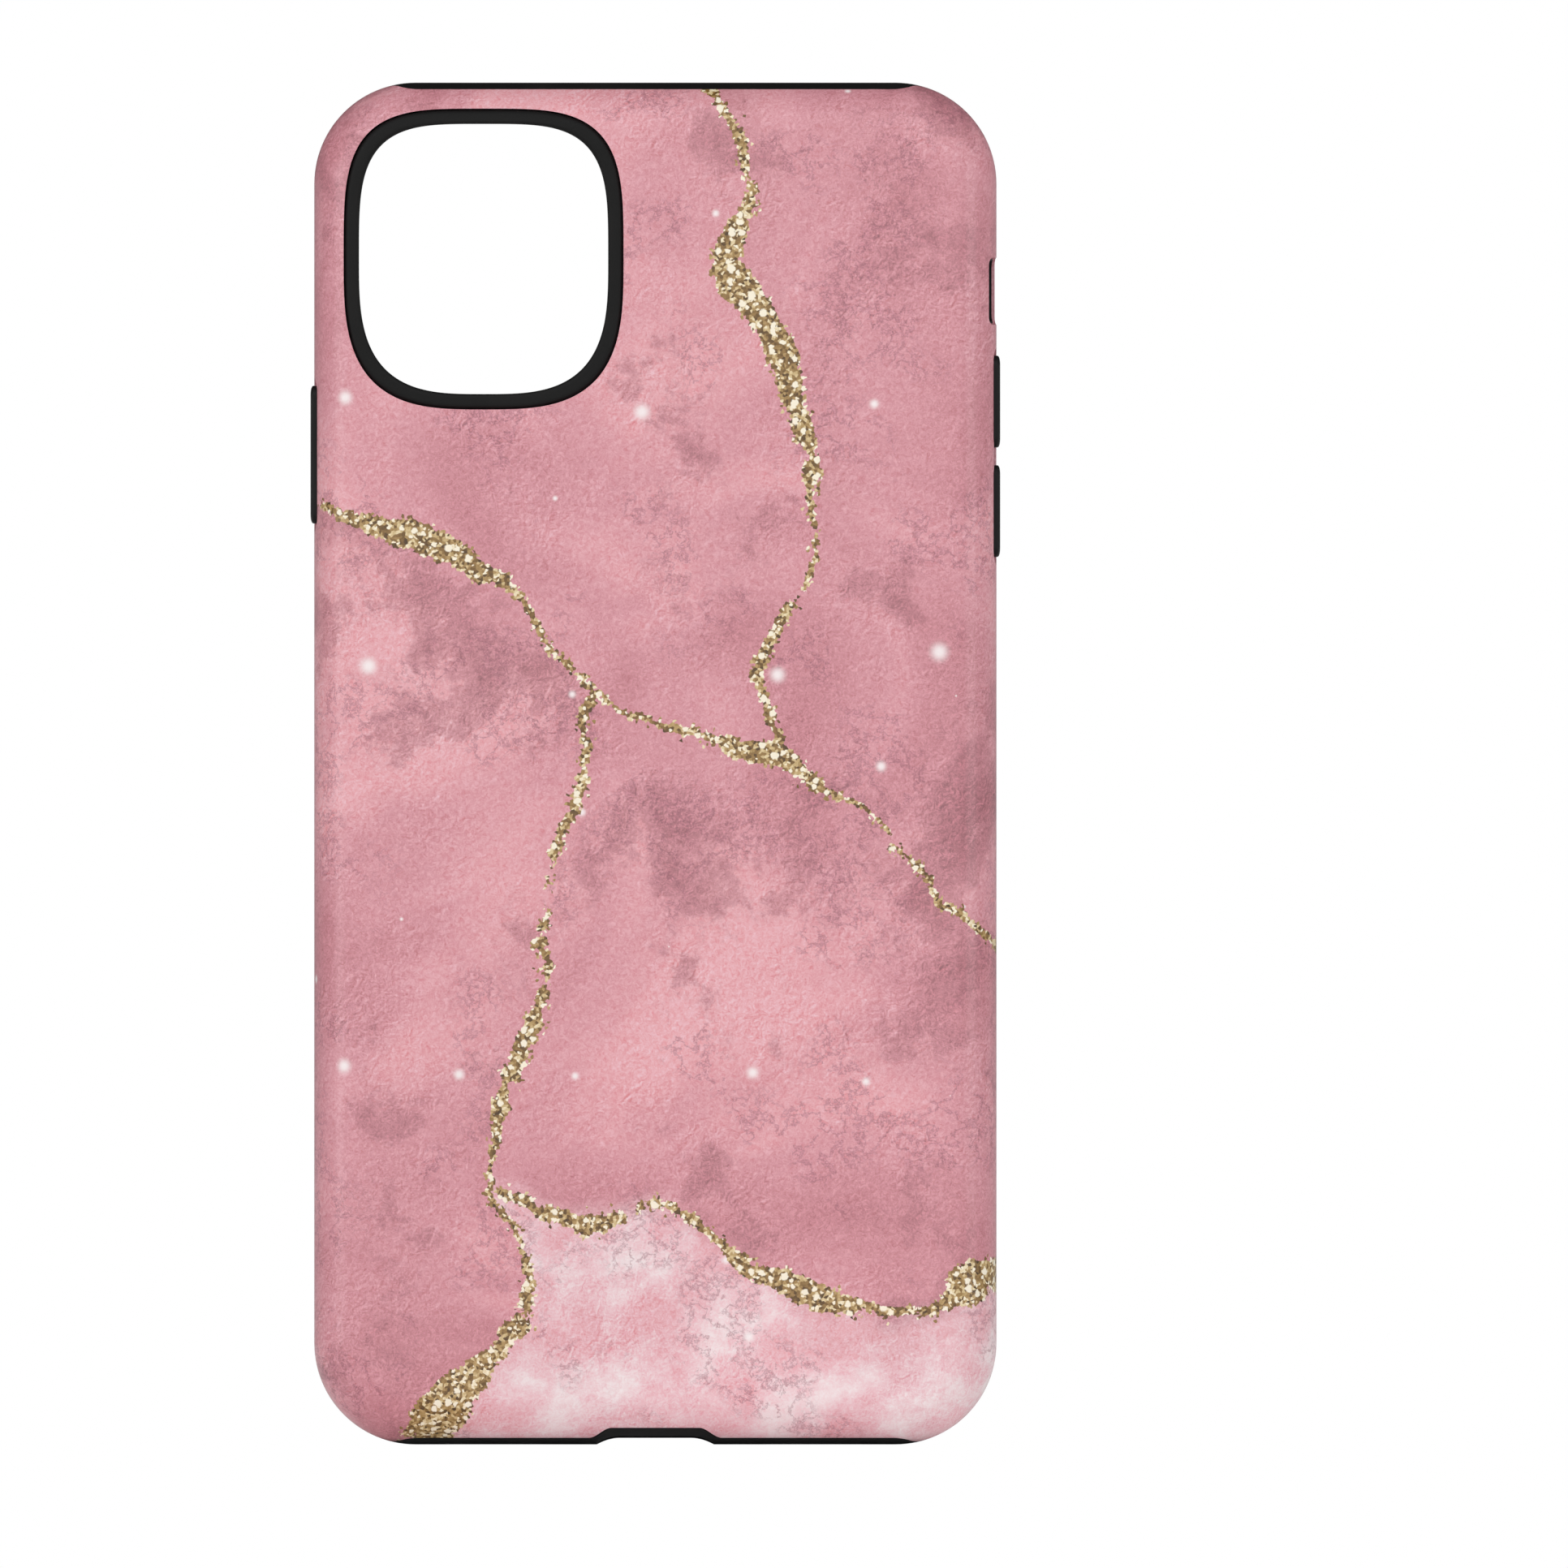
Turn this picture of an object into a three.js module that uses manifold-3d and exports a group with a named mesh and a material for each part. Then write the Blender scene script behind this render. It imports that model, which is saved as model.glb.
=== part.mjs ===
// Two-layer phone case. A flexible black liner holds the phone, and a hard printed shell snaps over it.
// Three button covers press through the liner's side walls.
// Frame: +Z runs up the length, -Y is the printed back and +Y the screen side.
// The origin is the centre of the flat seat that the phone's back lies on.

import * as THREE from 'three';
import { mergeVertices } from 'three/addons/utils/BufferGeometryUtils.js';
import Module from 'manifold-3d';

const wasm = await Module();
wasm.setup();

// Driving dimensions, millimetres

// The phone that the case fits
const phoneLength = 158.0;
const phoneWidth = 77.8;
const phoneThickness = 8.1;
const phoneCornerRadius = 10.2;
const phoneEdgeRound = 4.0;
const fitClearance = 0.1;

// Walls of the two layers
const shellBack = 1.0;
const shellWall = 0.9;
const layerGap = 0.15;
const linerBack = 0.8;
const linerSideWall = 0.75;
const linerEndWall = 1.3;
const lipThickness = 1.4;
const lipOverhang = 1.9;
const lipChamfer = 0.4;

// Rounding of the outer edge: an ellipse towards the back and a circular arc towards the screen
const backRoundInset = 5.5;
const backRoundDepth = 6.3;
const frontRoundRadius = 5.1;
const frontRoundReach = 4.35;

// The shell's front edge, and the cut-back at both ends where the liner shows
const flangeDepth = 0.95;
const cutbackCorner = 37.75;
const cutbackCornerRadius = 5.6;
const cutbackFillet = 2.6;
const cutbackHeight = 3.05;
const cutbackAngle = THREE.MathUtils.degToRad(57);

// Camera opening
const cameraX = -20.55;
const cameraFromTop = 21.1;
const cameraWidth = 33.5;
const cameraHeight = 36.0;
const collarWall = 1.85;
const collarChamfer = 0.4;
const collarExponents = { upper: 3.75, lower: 3.15 };

// Button pads in the right and left walls, placed from the top end, and the windows round them
const padWidth = 2.6;
const padEndRadius = 1.2;
const padCrown = 0.35;
const padProud = 0.45;
const padTravel = 0.4;
const padClearance = 0.1;
const padMiddleDepth = 5.9;
const volumePadLength = 11.0;
const volumePadGap = 2.1;
const volumeFromTop = 44.7;
const sidePadLength = 16.5;
const sideFromTop = 44.5;
const windowSideMargin = 0.5;
const windowEndMargin = 0.95;
const windowWaistMargin = 0.5;
const windowWaistInset = 0.2;
const bossRecess = 0.45;

// Opening for the mute switch
const muteLength = 8.0;
const muteWidth = 5.8;
const muteMiddle = 5.75;
const muteFromTop = 24.95;
const muteCornerRadius = 0.9;
const muteRim = 0.35;

// Bottom end: charging port and speaker slots
const portWidth = 14.0;
const portBack = 2.7;
const portHeight = 7.2;
const portCornerRadius = 2.7;
const portReliefHeight = 1.45;
const portReliefRamp = 2.8;
const portReliefMargin = 1.0;
const speakerX = 19.0;
const speakerLength = 13.0;
const speakerHeight = 2.0;

// One overrun serves all cuts
const overrun = 1.0;

// Points nearer than this are one point
const mergeDistance = 0.00001;

// Facet counts
const cornerSteps = 10;
const roundSteps = 8;
const frontSteps = 4;
const outlineSteps = 60;
const arcSteps = 6;
const crownSteps = 3;

// Sizes that follow from the driving dimensions

const halfWidth = phoneWidth / 2 + fitClearance + linerSideWall + layerGap + shellWall;
const halfLength = phoneLength / 2 + fitClearance + linerEndWall + layerGap + shellWall;
const cornerRadius = phoneCornerRadius + fitClearance + linerSideWall + layerGap + shellWall;
const backFace = -(shellBack + layerGap + linerBack);
const cavityHeight = phoneThickness + fitClearance;
const lipFace = cavityHeight + lipThickness;
const frontRoundStart = lipFace - frontRoundReach;
const shellFront = lipFace - flangeDepth;
const cameraZ = halfLength - cameraFromTop;
const cavitySide = phoneWidth / 2 + fitClearance;
const cavityEnd = phoneLength / 2 + fitClearance;

// Solids

// Turns a closed geometry into a solid that can be cut and joined.
function solidOf(geometry) {
  const bare = geometry.clone();
  bare.deleteAttribute('normal');
  bare.deleteAttribute('uv');
  const merged = mergeVertices(bare, mergeDistance);
  return new wasm.Manifold(new wasm.Mesh({
    numProp: 3,
    vertProperties: new Float32Array(merged.attributes.position.array),
    triVerts: new Uint32Array(merged.index.array),
  }));
}

// Turns a solid back into a geometry.
function geometryOf(solid) {
  const mesh = solid.getMesh();
  const geometry = new THREE.BufferGeometry();
  const positions = new Float32Array(mesh.numVert * 3);
  for (let vertex = 0; vertex < mesh.numVert; vertex += 1) {
    for (let axis = 0; axis < 3; axis += 1) {
      positions[vertex * 3 + axis] = mesh.vertProperties[vertex * mesh.numProp + axis];
    }
  }
  geometry.setAttribute('position', new THREE.BufferAttribute(positions, 3));
  geometry.setIndex(Array.from(mesh.triVerts));
  geometry.computeVertexNormals();
  return geometry;
}

// One ring of a rounded rectangle at depth y, as points that run from +X towards +Z.
// Its sizes are half the width and half the length.
function rectangleRing({ y, width, length, radius }) {
  const points = [];
  const quarter = Math.PI / 2;
  for (let corner = 0; corner < 4; corner += 1) {
    const centreX = (corner === 0 || corner === 3 ? 1 : -1) * (width - radius);
    const centreZ = (corner < 2 ? 1 : -1) * (length - radius);
    for (let step = 0; step <= cornerSteps; step += 1) {
      const angle = quarter * (corner + step / cornerSteps);
      points.push([centreX + radius * Math.cos(angle), y, centreZ + radius * Math.sin(angle)]);
    }
  }
  return points;
}

// A solid skinned over rings that are stacked along +Y, with a flat cap at each end.
function loft(outlines) {
  const count = outlines[0].length;
  const positions = outlines.flat(2);
  const index = [];
  for (let ring = 0; ring + 1 < outlines.length; ring += 1) {
    for (let point = 0; point < count; point += 1) {
      const next = (point + 1) % count;
      const a = ring * count + point;
      const b = (ring + 1) * count + point;
      const c = ring * count + next;
      const d = (ring + 1) * count + next;
      index.push(a, b, c, c, b, d);
    }
  }
  const last = (outlines.length - 1) * count;
  for (let point = 1; point + 1 < count; point += 1) {
    index.push(0, point, point + 1);
    index.push(last, last + point + 1, last + point);
  }
  const geometry = new THREE.BufferGeometry();
  geometry.setAttribute('position', new THREE.Float32BufferAttribute(positions, 3));
  geometry.setIndex(index);
  return solidOf(geometry);
}

// A tray-shaped body: a rounded rectangle whose edge rolls in to the back and to the front.
// inset shrinks it from the outer surface, backInset moves its back face inwards.
function trayBody({ inset, backInset, front }) {
  const rings = [];
  const place = (y, roll) => rings.push(rectangleRing({
    y,
    width: halfWidth - inset - roll,
    length: halfLength - inset - roll,
    radius: cornerRadius - inset - roll,
  }));
  for (let step = 0; step <= roundSteps; step += 1) {
    const angle = (Math.PI / 2) * (step / roundSteps);
    const roll = (backRoundInset - inset) * (1 - Math.sin(angle));
    place(backFace + backInset + (backRoundDepth - backInset) * (1 - Math.cos(angle)), roll);
  }
  const radius = frontRoundRadius - inset;
  const endAngle = Math.asin((front - frontRoundStart) / radius);
  for (let step = 0; step <= frontSteps; step += 1) {
    const angle = endAngle * (step / frontSteps);
    place(frontRoundStart + radius * Math.sin(angle), radius * (1 - Math.cos(angle)));
  }
  return loft(rings);
}

// The space for the phone, whose long edges are round from back to front.
function phoneSpace() {
  const rings = [];
  const steps = 2 * roundSteps;
  for (let step = 0; step <= steps; step += 1) {
    const angle = Math.PI * (step / steps);
    const roll = phoneEdgeRound * (1 - Math.sin(angle));
    rings.push(rectangleRing({
      y: (cavityHeight / 2) * (1 - Math.cos(angle)),
      width: cavitySide - roll,
      length: cavityEnd - roll,
      radius: phoneCornerRadius + fitClearance - roll,
    }));
  }
  return loft(rings);
}

// A prism of a shape, run along one axis between two places.
// Across X a shape is drawn as (y, z), across Y as (x, z) and across Z as (x, y).
function prism(shape, axis, from, to) {
  const geometry = new THREE.ExtrudeGeometry(shape, {
    depth: to - from,
    bevelEnabled: false,
    curveSegments: arcSteps,
  });
  const unitX = new THREE.Vector3(1, 0, 0);
  const unitY = new THREE.Vector3(0, 1, 0);
  const unitZ = new THREE.Vector3(0, 0, 1);
  const turn = new THREE.Matrix4();
  const shift = new THREE.Vector3();
  if (axis === 'x') {
    turn.makeBasis(unitY, unitZ, unitX);
    shift.set(from, 0, 0);
  } else if (axis === 'y') {
    turn.makeBasis(unitX, unitZ, unitY.clone().negate());
    shift.set(0, to, 0);
  } else {
    shift.set(0, 0, from);
  }
  geometry.applyMatrix4(turn);
  geometry.translate(shift.x, shift.y, shift.z);
  return solidOf(geometry);
}

// A rounded rectangle about a centre, given by its half sizes.
function roundedRectangle(centreU, centreV, halfU, halfV, radius) {
  const shape = new THREE.Shape();
  const r = Math.min(radius, halfU, halfV);
  const quarter = Math.PI / 2;
  const innerU = halfU - r;
  const innerV = halfV - r;
  shape.absarc(centreU + innerU, centreV + innerV, r, 0, quarter);
  shape.absarc(centreU - innerU, centreV + innerV, r, quarter, 2 * quarter);
  shape.absarc(centreU - innerU, centreV - innerV, r, 2 * quarter, 3 * quarter);
  shape.absarc(centreU + innerU, centreV - innerV, r, 3 * quarter, 4 * quarter);
  shape.closePath();
  return shape;
}

// The camera opening as [x, z] points: a superellipse whose upper half is squarer than its lower half.
function cameraPoints(shrink) {
  const halfU = cameraWidth / 2 - shrink;
  const halfV = cameraHeight / 2 - shrink;
  const points = [];
  for (let step = 0; step < outlineSteps; step += 1) {
    const angle = (2 * Math.PI * step) / outlineSteps;
    const exponent = Math.sin(angle) > 0 ? collarExponents.upper : collarExponents.lower;
    const power = (value) => Math.sign(value) * Math.abs(value) ** (2 / exponent);
    points.push([
      cameraX + halfU * power(Math.cos(angle)),
      cameraZ + halfV * power(Math.sin(angle)),
    ]);
  }
  return points;
}

// A body that follows the camera outline through rings of [y, shrink].
function cameraBody(rings) {
  return loft(rings.map(([y, shrink]) => cameraPoints(shrink).map(([x, z]) => [x, y, z])));
}

// The cut-back that bares the liner at one end: a broad step with rolled corners.
// margin moves the whole edge away from the shell, and relief adds the dip at the charging port.
function cutbackShape(margin, relief) {
  const shape = new THREE.Shape();
  const quarter = Math.PI / 2;
  const lean = quarter + cutbackAngle;
  const floor = backFace + cutbackHeight + margin;
  const topCentreY = shellFront - cutbackCornerRadius;
  const topRadius = cutbackCornerRadius + margin;
  const fillet = cutbackFillet - margin;
  const filletCentreY = floor + fillet;
  const lineX = cutbackCorner + topRadius * Math.cos(lean);
  const lineY = topCentreY + topRadius * Math.sin(lean);
  const run = fillet - (filletCentreY - lineY) * Math.cos(cutbackAngle);
  const filletCentreX = lineX - run / Math.sin(cutbackAngle);
  const ceiling = lipFace + overrun;

  shape.moveTo(-cutbackCorner, ceiling);
  shape.absarc(-cutbackCorner, topCentreY, topRadius, quarter, quarter - cutbackAngle, true);
  shape.absarc(-filletCentreX, filletCentreY, fillet, 3 * quarter - cutbackAngle, 3 * quarter, false);
  if (relief) {
    const dip = backFace + portReliefHeight + margin;
    const edgeHalf = portWidth / 2 + portReliefMargin - margin;
    const dipHalf = edgeHalf - portReliefRamp;
    const middle = (dipHalf + edgeHalf) / 2;
    shape.lineTo(-edgeHalf, floor);
    shape.bezierCurveTo(-middle, floor, -middle, dip, -dipHalf, dip);
    shape.lineTo(dipHalf, dip);
    shape.bezierCurveTo(middle, dip, middle, floor, edgeHalf, floor);
  }
  shape.absarc(filletCentreX, filletCentreY, fillet, 3 * quarter, 3 * quarter + cutbackAngle, false);
  shape.absarc(cutbackCorner, topCentreY, topRadius, quarter + cutbackAngle, quarter, true);
  shape.lineTo(cutbackCorner, ceiling);
  shape.closePath();
  return shape;
}

// A slab that covers everything in front of the shell's front edge.
function flangeZone(margin) {
  const slab = roundedRectangle(0, 0, halfWidth + overrun, halfLength + overrun, overrun);
  return prism(slab, 'y', shellFront + margin, lipFace + overrun);
}

// Everything that the shell leaves bare, moved away from its edges by margin.
function bareZones(margin) {
  const reach = halfLength - cornerRadius;
  const top = prism(cutbackShape(margin, false), 'z', reach, halfLength + overrun);
  const bottom = prism(cutbackShape(margin, true), 'z', -halfLength - overrun, -reach);
  const camera = cameraBody([[backFace - overrun, margin], [linerBack, margin]]);
  return flangeZone(margin).add(top).add(bottom).add(camera);
}

// Windows, pads and the mute opening share these places.
const padMiddleY = backFace + padMiddleDepth;
const volumeZ = halfLength - volumeFromTop;
const volumePadSpacing = volumePadLength + volumePadGap;
const sideZ = halfLength - sideFromTop;
const muteY = backFace + muteMiddle;
const muteZ = halfLength - muteFromTop;

// The mute switch's window, grown by margin.
function muteWindow(margin) {
  const radius = muteCornerRadius + margin;
  return roundedRectangle(muteY, muteZ, muteWidth / 2 + margin, muteLength / 2 + margin, radius);
}

// A pad's outline, grown by margin.
function padOutline(middleZ, length, margin) {
  const half = padWidth / 2 + margin;
  return roundedRectangle(padMiddleY, middleZ, half, length / 2 + margin, padEndRadius + margin);
}

// Pads: side is 1 on the right wall and -1 on the left wall.
const pads = [
  { name: 'volume_up_cover', side: 1, z: volumeZ + volumePadSpacing / 2, length: volumePadLength },
  { name: 'volume_down_cover', side: 1, z: volumeZ - volumePadSpacing / 2, length: volumePadLength },
  { name: 'side_button_cover', side: -1, z: sideZ, length: sidePadLength },
];

// A prism that runs outwards along X on the given side.
function sidePrism(shape, side, from, to) {
  return side > 0 ? prism(shape, 'x', from, to) : prism(shape, 'x', -to, -from);
}

// The window round all pads of one side, grown by margin: a round-ended pocket at each pad,
// joined by a slightly narrower slot that leaves a waist between two pads.
function padWindow(side, margin, from, to) {
  const members = pads.filter((pad) => pad.side === side);
  const half = padWidth / 2 + windowSideMargin + margin;
  const low = Math.min(...members.map((pad) => pad.z - pad.length / 2));
  const high = Math.max(...members.map((pad) => pad.z + pad.length / 2));
  const pocket = (bottom, top, radius) => {
    const middle = (bottom + top) / 2;
    const outline = roundedRectangle(padMiddleY, middle, radius, (top - bottom) / 2, radius);
    return sidePrism(outline, side, from, to);
  };
  const ends = windowEndMargin + margin - windowWaistInset;
  let window = pocket(low - ends, high + ends, half - windowWaistInset);
  for (const pad of members) {
    const bottom = pad.z - pad.length / 2;
    const top = pad.z + pad.length / 2;
    const below = margin + (bottom === low ? windowEndMargin : windowWaistMargin);
    const above = margin + (top === high ? windowEndMargin : windowWaistMargin);
    window = window.add(pocket(bottom - below, top + above, half));
  }
  return window;
}

// Outer shell: the hard tray, less its inside and everything it leaves bare.
function outerShell() {
  const outside = trayBody({ inset: 0, backInset: 0, front: lipFace });
  const inside = trayBody({ inset: shellWall, backInset: shellBack, front: shellFront + layerGap });
  const from = cavitySide;
  const to = halfWidth + overrun;
  return outside
    .subtract(inside)
    .subtract(bareZones(0))
    .subtract(padWindow(1, 0, from, to))
    .subtract(padWindow(-1, 0, from, to))
    .subtract(sidePrism(muteWindow(0), 1, from, to));
}

// The liner's outside: it fills the shell and comes flush wherever the shell leaves it bare.
function linerOutside() {
  const inset = shellWall + layerGap;
  const skin = trayBody({ inset, backInset: shellBack + layerGap, front: shellFront + 2 * layerGap });
  const flush = trayBody({ inset: 0, backInset: 0, front: lipFace });
  const recessed = trayBody({ inset: bossRecess, backInset: bossRecess, front: shellFront });
  const from = cavitySide;
  const to = halfWidth + overrun;
  const bosses = padWindow(1, -layerGap, from, to)
    .add(padWindow(-1, -layerGap, from, to))
    .add(sidePrism(muteWindow(-layerGap), 1, from, to));
  return skin.add(flush.intersect(bareZones(layerGap))).add(recessed.intersect(bosses));
}

// The opening over the screen, with a small chamfer round its front edge.
function screenOpening() {
  const width = phoneWidth / 2 - lipOverhang;
  const length = phoneLength / 2 - lipOverhang;
  const radius = phoneCornerRadius - lipOverhang;
  const ring = (y, grow) => rectangleRing({
    y,
    width: width + grow,
    length: length + grow,
    radius: radius + grow,
  });
  return loft([
    ring(cavityHeight / 2, 0),
    ring(lipFace - lipChamfer, 0),
    ring(lipFace + overrun, lipChamfer + overrun),
  ]);
}

// The opening inside the camera collar, with a chamfer round its outer edge.
function cameraOpening() {
  const flare = collarChamfer + overrun;
  return cameraBody([
    [backFace - overrun, collarWall - flare],
    [backFace + collarChamfer, collarWall],
    [overrun, collarWall],
  ]);
}

// Everything cut through the liner's bottom wall.
function bottomOpenings() {
  const middle = backFace + portBack + portHeight / 2;
  const port = roundedRectangle(0, middle, portWidth / 2, portHeight / 2, portCornerRadius);
  const from = -halfLength - overrun;
  const to = -cavityEnd + phoneEdgeRound;
  let cut = prism(port, 'z', from, to);
  for (const side of [-1, 1]) {
    const half = speakerHeight / 2;
    const slot = roundedRectangle(side * speakerX, middle, speakerLength / 2, half, half);
    cut = cut.add(prism(slot, 'z', from, to));
  }
  return cut;
}

// Inner liner: its outside, less the phone's space and every opening.
function innerLiner() {
  const from = cavitySide - fitClearance - overrun;
  const to = halfWidth + overrun;
  let liner = linerOutside()
    .subtract(phoneSpace())
    .subtract(screenOpening())
    .subtract(cameraOpening())
    .subtract(sidePrism(muteWindow(-muteRim), 1, from, to))
    .subtract(bottomOpenings());
  for (const pad of pads) {
    liner = liner.subtract(sidePrism(padOutline(pad.z, pad.length, padClearance), pad.side, from, to));
  }
  return liner;
}

// Button cover: a bar with a softly crowned outer face, long enough inwards to stay in its slot.
function buttonCover(pad) {
  const inner = cavitySide + padTravel + padClearance;
  const outer = halfWidth + padProud;
  const geometry = new THREE.ExtrudeGeometry(padOutline(pad.z, pad.length, -padCrown), {
    depth: outer - inner - padCrown,
    bevelEnabled: true,
    bevelThickness: padCrown,
    bevelSize: padCrown,
    bevelSegments: crownSteps,
    curveSegments: arcSteps,
  });
  geometry.applyMatrix4(new THREE.Matrix4().makeBasis(
    new THREE.Vector3(0, 1, 0),
    new THREE.Vector3(0, 0, 1),
    new THREE.Vector3(1, 0, 0),
  ));
  geometry.translate(inner, 0, 0);
  const bar = solidOf(geometry);
  const keep = sidePrism(padOutline(pad.z, pad.length, overrun), 1, inner, outer + overrun);
  const cover = bar.intersect(keep);
  return pad.side > 0 ? cover : cover.mirror([1, 0, 0]);
}

// Materials

const printedPolycarbonate = { color: '#d9a0a8', roughness: 0.22, metalness: 0.0 };
const linerRubber = { color: '#1c1c1c', roughness: 0.55, metalness: 0.0 };
const padRubber = { color: '#212121', roughness: 0.5, metalness: 0.0 };

// Assembly

const group = new THREE.Group();

function place(name, solid, finish) {
  const mesh = new THREE.Mesh(geometryOf(solid), new THREE.MeshStandardMaterial(finish));
  mesh.name = name;
  group.add(mesh);
}

place('outer_shell', outerShell(), printedPolycarbonate);
place('inner_liner', innerLiner(), linerRubber);
for (const pad of pads) {
  place(pad.name, buttonCover(pad), padRubber);
}

export default group;
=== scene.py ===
# %% [markdown]
# # A two-layer phone case
#
# The case is two mouldings: a hard polycarbonate shell with a glossy print, and a soft black
# liner inside it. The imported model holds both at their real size, with flat facets. This lesson
# makes the fine surfaces over them, in the same frame: metres, +Z up the length, -Y out of the
# printed back and +Y out of the screen side.

import bpy
import numpy as np
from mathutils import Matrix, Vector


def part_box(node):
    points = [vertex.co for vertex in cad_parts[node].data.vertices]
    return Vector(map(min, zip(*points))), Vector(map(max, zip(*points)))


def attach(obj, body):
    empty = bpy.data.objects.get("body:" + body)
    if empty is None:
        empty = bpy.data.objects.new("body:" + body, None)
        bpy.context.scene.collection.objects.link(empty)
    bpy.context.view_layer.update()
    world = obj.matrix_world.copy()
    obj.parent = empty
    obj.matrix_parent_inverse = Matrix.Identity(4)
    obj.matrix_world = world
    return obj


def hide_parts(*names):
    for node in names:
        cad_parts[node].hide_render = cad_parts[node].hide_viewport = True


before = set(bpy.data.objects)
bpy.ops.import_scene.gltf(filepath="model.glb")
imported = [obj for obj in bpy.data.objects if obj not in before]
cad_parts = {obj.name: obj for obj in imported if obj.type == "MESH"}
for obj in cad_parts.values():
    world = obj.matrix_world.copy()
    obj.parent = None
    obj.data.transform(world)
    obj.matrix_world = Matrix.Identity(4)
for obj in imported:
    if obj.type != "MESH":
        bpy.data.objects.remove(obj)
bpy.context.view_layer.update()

# %% [markdown]
# ## Sizes
#
# Everything is written in millimetres times MM, so a number can be held against a ruler on the
# real case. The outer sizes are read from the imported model, so the fine surfaces can't grow out
# of it. The other sizes of the mould stand where they are first used.

# %% Sizes
MM = 0.001
_, liner_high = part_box("inner_liner")
shell_low, shell_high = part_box("outer_shell")

HALF_WIDTH = shell_high.x
HALF_LENGTH = liner_high.z
BACK = shell_low.y
LIP = liner_high.y
SHELL_FRONT = shell_high.y
outer_size = (2 * HALF_WIDTH, 2 * HALF_LENGTH, LIP - BACK)
print("case, mm:", [round(size / MM, 2) for size in outer_size])

# %% [markdown]
# ## The camera
#
# The back is seen straight on and without perspective: its edges are parallel to the picture's
# and the thin rubber line at each end is as wide as the drawing says. An orthographic camera does
# that. It looks along +Y, and stands a little to the right and below, so that the case sits
# left of the middle.

# %% Camera
PHOTO_SIZE = 1932
PIXELS_PER_MM = 10.30
CASE_CENTRE_PIXEL = (807.5, 940.8)
CAMERA_DISTANCE = 500 * MM

camera_data = bpy.data.cameras.new("camera")
camera_data.type = "ORTHO"
camera_data.ortho_scale = PHOTO_SIZE / PIXELS_PER_MM * MM
camera = bpy.data.objects.new("camera", camera_data)
bpy.context.scene.collection.objects.link(camera)
camera.location = (
    (PHOTO_SIZE / 2 - CASE_CENTRE_PIXEL[0]) / PIXELS_PER_MM * MM,
    -CAMERA_DISTANCE,
    (CASE_CENTRE_PIXEL[1] - PHOTO_SIZE / 2) / PIXELS_PER_MM * MM,
)
camera.rotation_euler = (np.pi / 2, 0, 0)
bpy.context.scene.camera = camera
print("picture is", round(camera_data.ortho_scale / MM, 1), "mm wide")

# %% [markdown]
# ## Rings
#
# Both mouldings are trays, and so is the space for the phone: a rounded rectangle carried along
# the depth while it shrinks and grows. A rounded rectangle could be a cube with a Bevel modifier,
# but the corners here change with the depth, so each ring is worked out as one array. The same
# four corners come back in the windows, the port and the pads, so they are a function of their own.

# %% Rings
CASE_CORNER_STEPS = 28
SMALL_CORNER_STEPS = 12


def four_corners(half_u, half_v, radius, steps=SMALL_CORNER_STEPS):
    """The coordinates u and v of a rounded rectangle about zero, from +u towards +v.

    Each corner is a quarter circle: centre plus radius times (cos, sin) of an angle, and the
    centre lies one radius in from both sides.
    """
    angle = np.linspace(0, np.pi / 2, steps + 1)
    turn = angle[None, :] + np.arange(4)[:, None] * np.pi / 2
    sign_u = np.array([1, -1, -1, 1])[:, None]
    sign_v = np.array([1, 1, -1, -1])[:, None]
    u = sign_u * (half_u - radius) + radius * np.cos(turn)
    v = sign_v * (half_v - radius) + radius * np.sin(turn)
    return u.ravel(), v.ravel()


def rounded_ring(y, half_width, half_length, radius):
    """Points of a rounded rectangle in the XZ plane at depth y, from +X towards +Z."""
    x, z = four_corners(half_width, half_length, radius, CASE_CORNER_STEPS)
    return np.stack([x, np.full(x.size, y), z], axis=1)


print("points in a ring:", len(rounded_ring(BACK, HALF_WIDTH, HALF_LENGTH, 12 * MM)))

# %% [markdown]
# ## Skins
#
# A stack of rings becomes a body when quads join each ring to the next and a flat face closes
# each end. The quads are the same sum of indices all over, so numpy makes them at once.

# %% Skins
def mesh_object(name, points, faces):
    """An object at the origin whose mesh has these points and faces."""
    mesh = bpy.data.meshes.new(name)
    mesh.from_pydata(np.asarray(points, float).tolist(), [], faces)
    mesh.update()
    made = bpy.data.objects.new(name, mesh)
    bpy.context.scene.collection.objects.link(made)
    return made


def skin(name, rings):
    """A closed body over rings that follow one another along +Y.

    Point i of ring k joins point i of ring k + 1, then point i + 1 of both, counted round the
    ring. One flat face closes each end.
    """
    stack = np.asarray(rings)
    count = stack.shape[1]
    ring = np.arange(stack.shape[0] - 1)[:, None] * count
    here = np.arange(count)[None, :]
    after = (here + 1) % count
    corners = [ring + here, ring + count + here, ring + count + after, ring + after]
    faces = np.stack(corners, axis=-1).reshape(-1, 4).tolist()
    last = (stack.shape[0] - 1) * count
    faces.append(list(range(count)))
    faces.append(list(range(last + count - 1, last - 1, -1)))
    return mesh_object(name, stack.reshape(-1, 3), faces)


def report(piece):
    """Prints how large a piece is."""
    corners = np.empty(len(piece.data.vertices) * 3)
    piece.data.vertices.foreach_get("co", corners)
    corners = corners.reshape(-1, 3) / MM
    size = np.round(corners.max(0) - corners.min(0), 2).tolist()
    print(piece.name, len(piece.data.polygons), "faces, mm:", size)


# %% [markdown]
# ## The tray
#
# Seen from the end, the case's edge is a quarter ellipse towards the back, 5.5 mm wide and 6.3 mm
# deep, a short straight stretch, and a circular arc towards the screen that the lip cuts off.
# The shell's inside and the liner's outside are the same tray, drawn in by a wall. Two rings
# close together just inside the flat back keep its shading flat.

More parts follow.
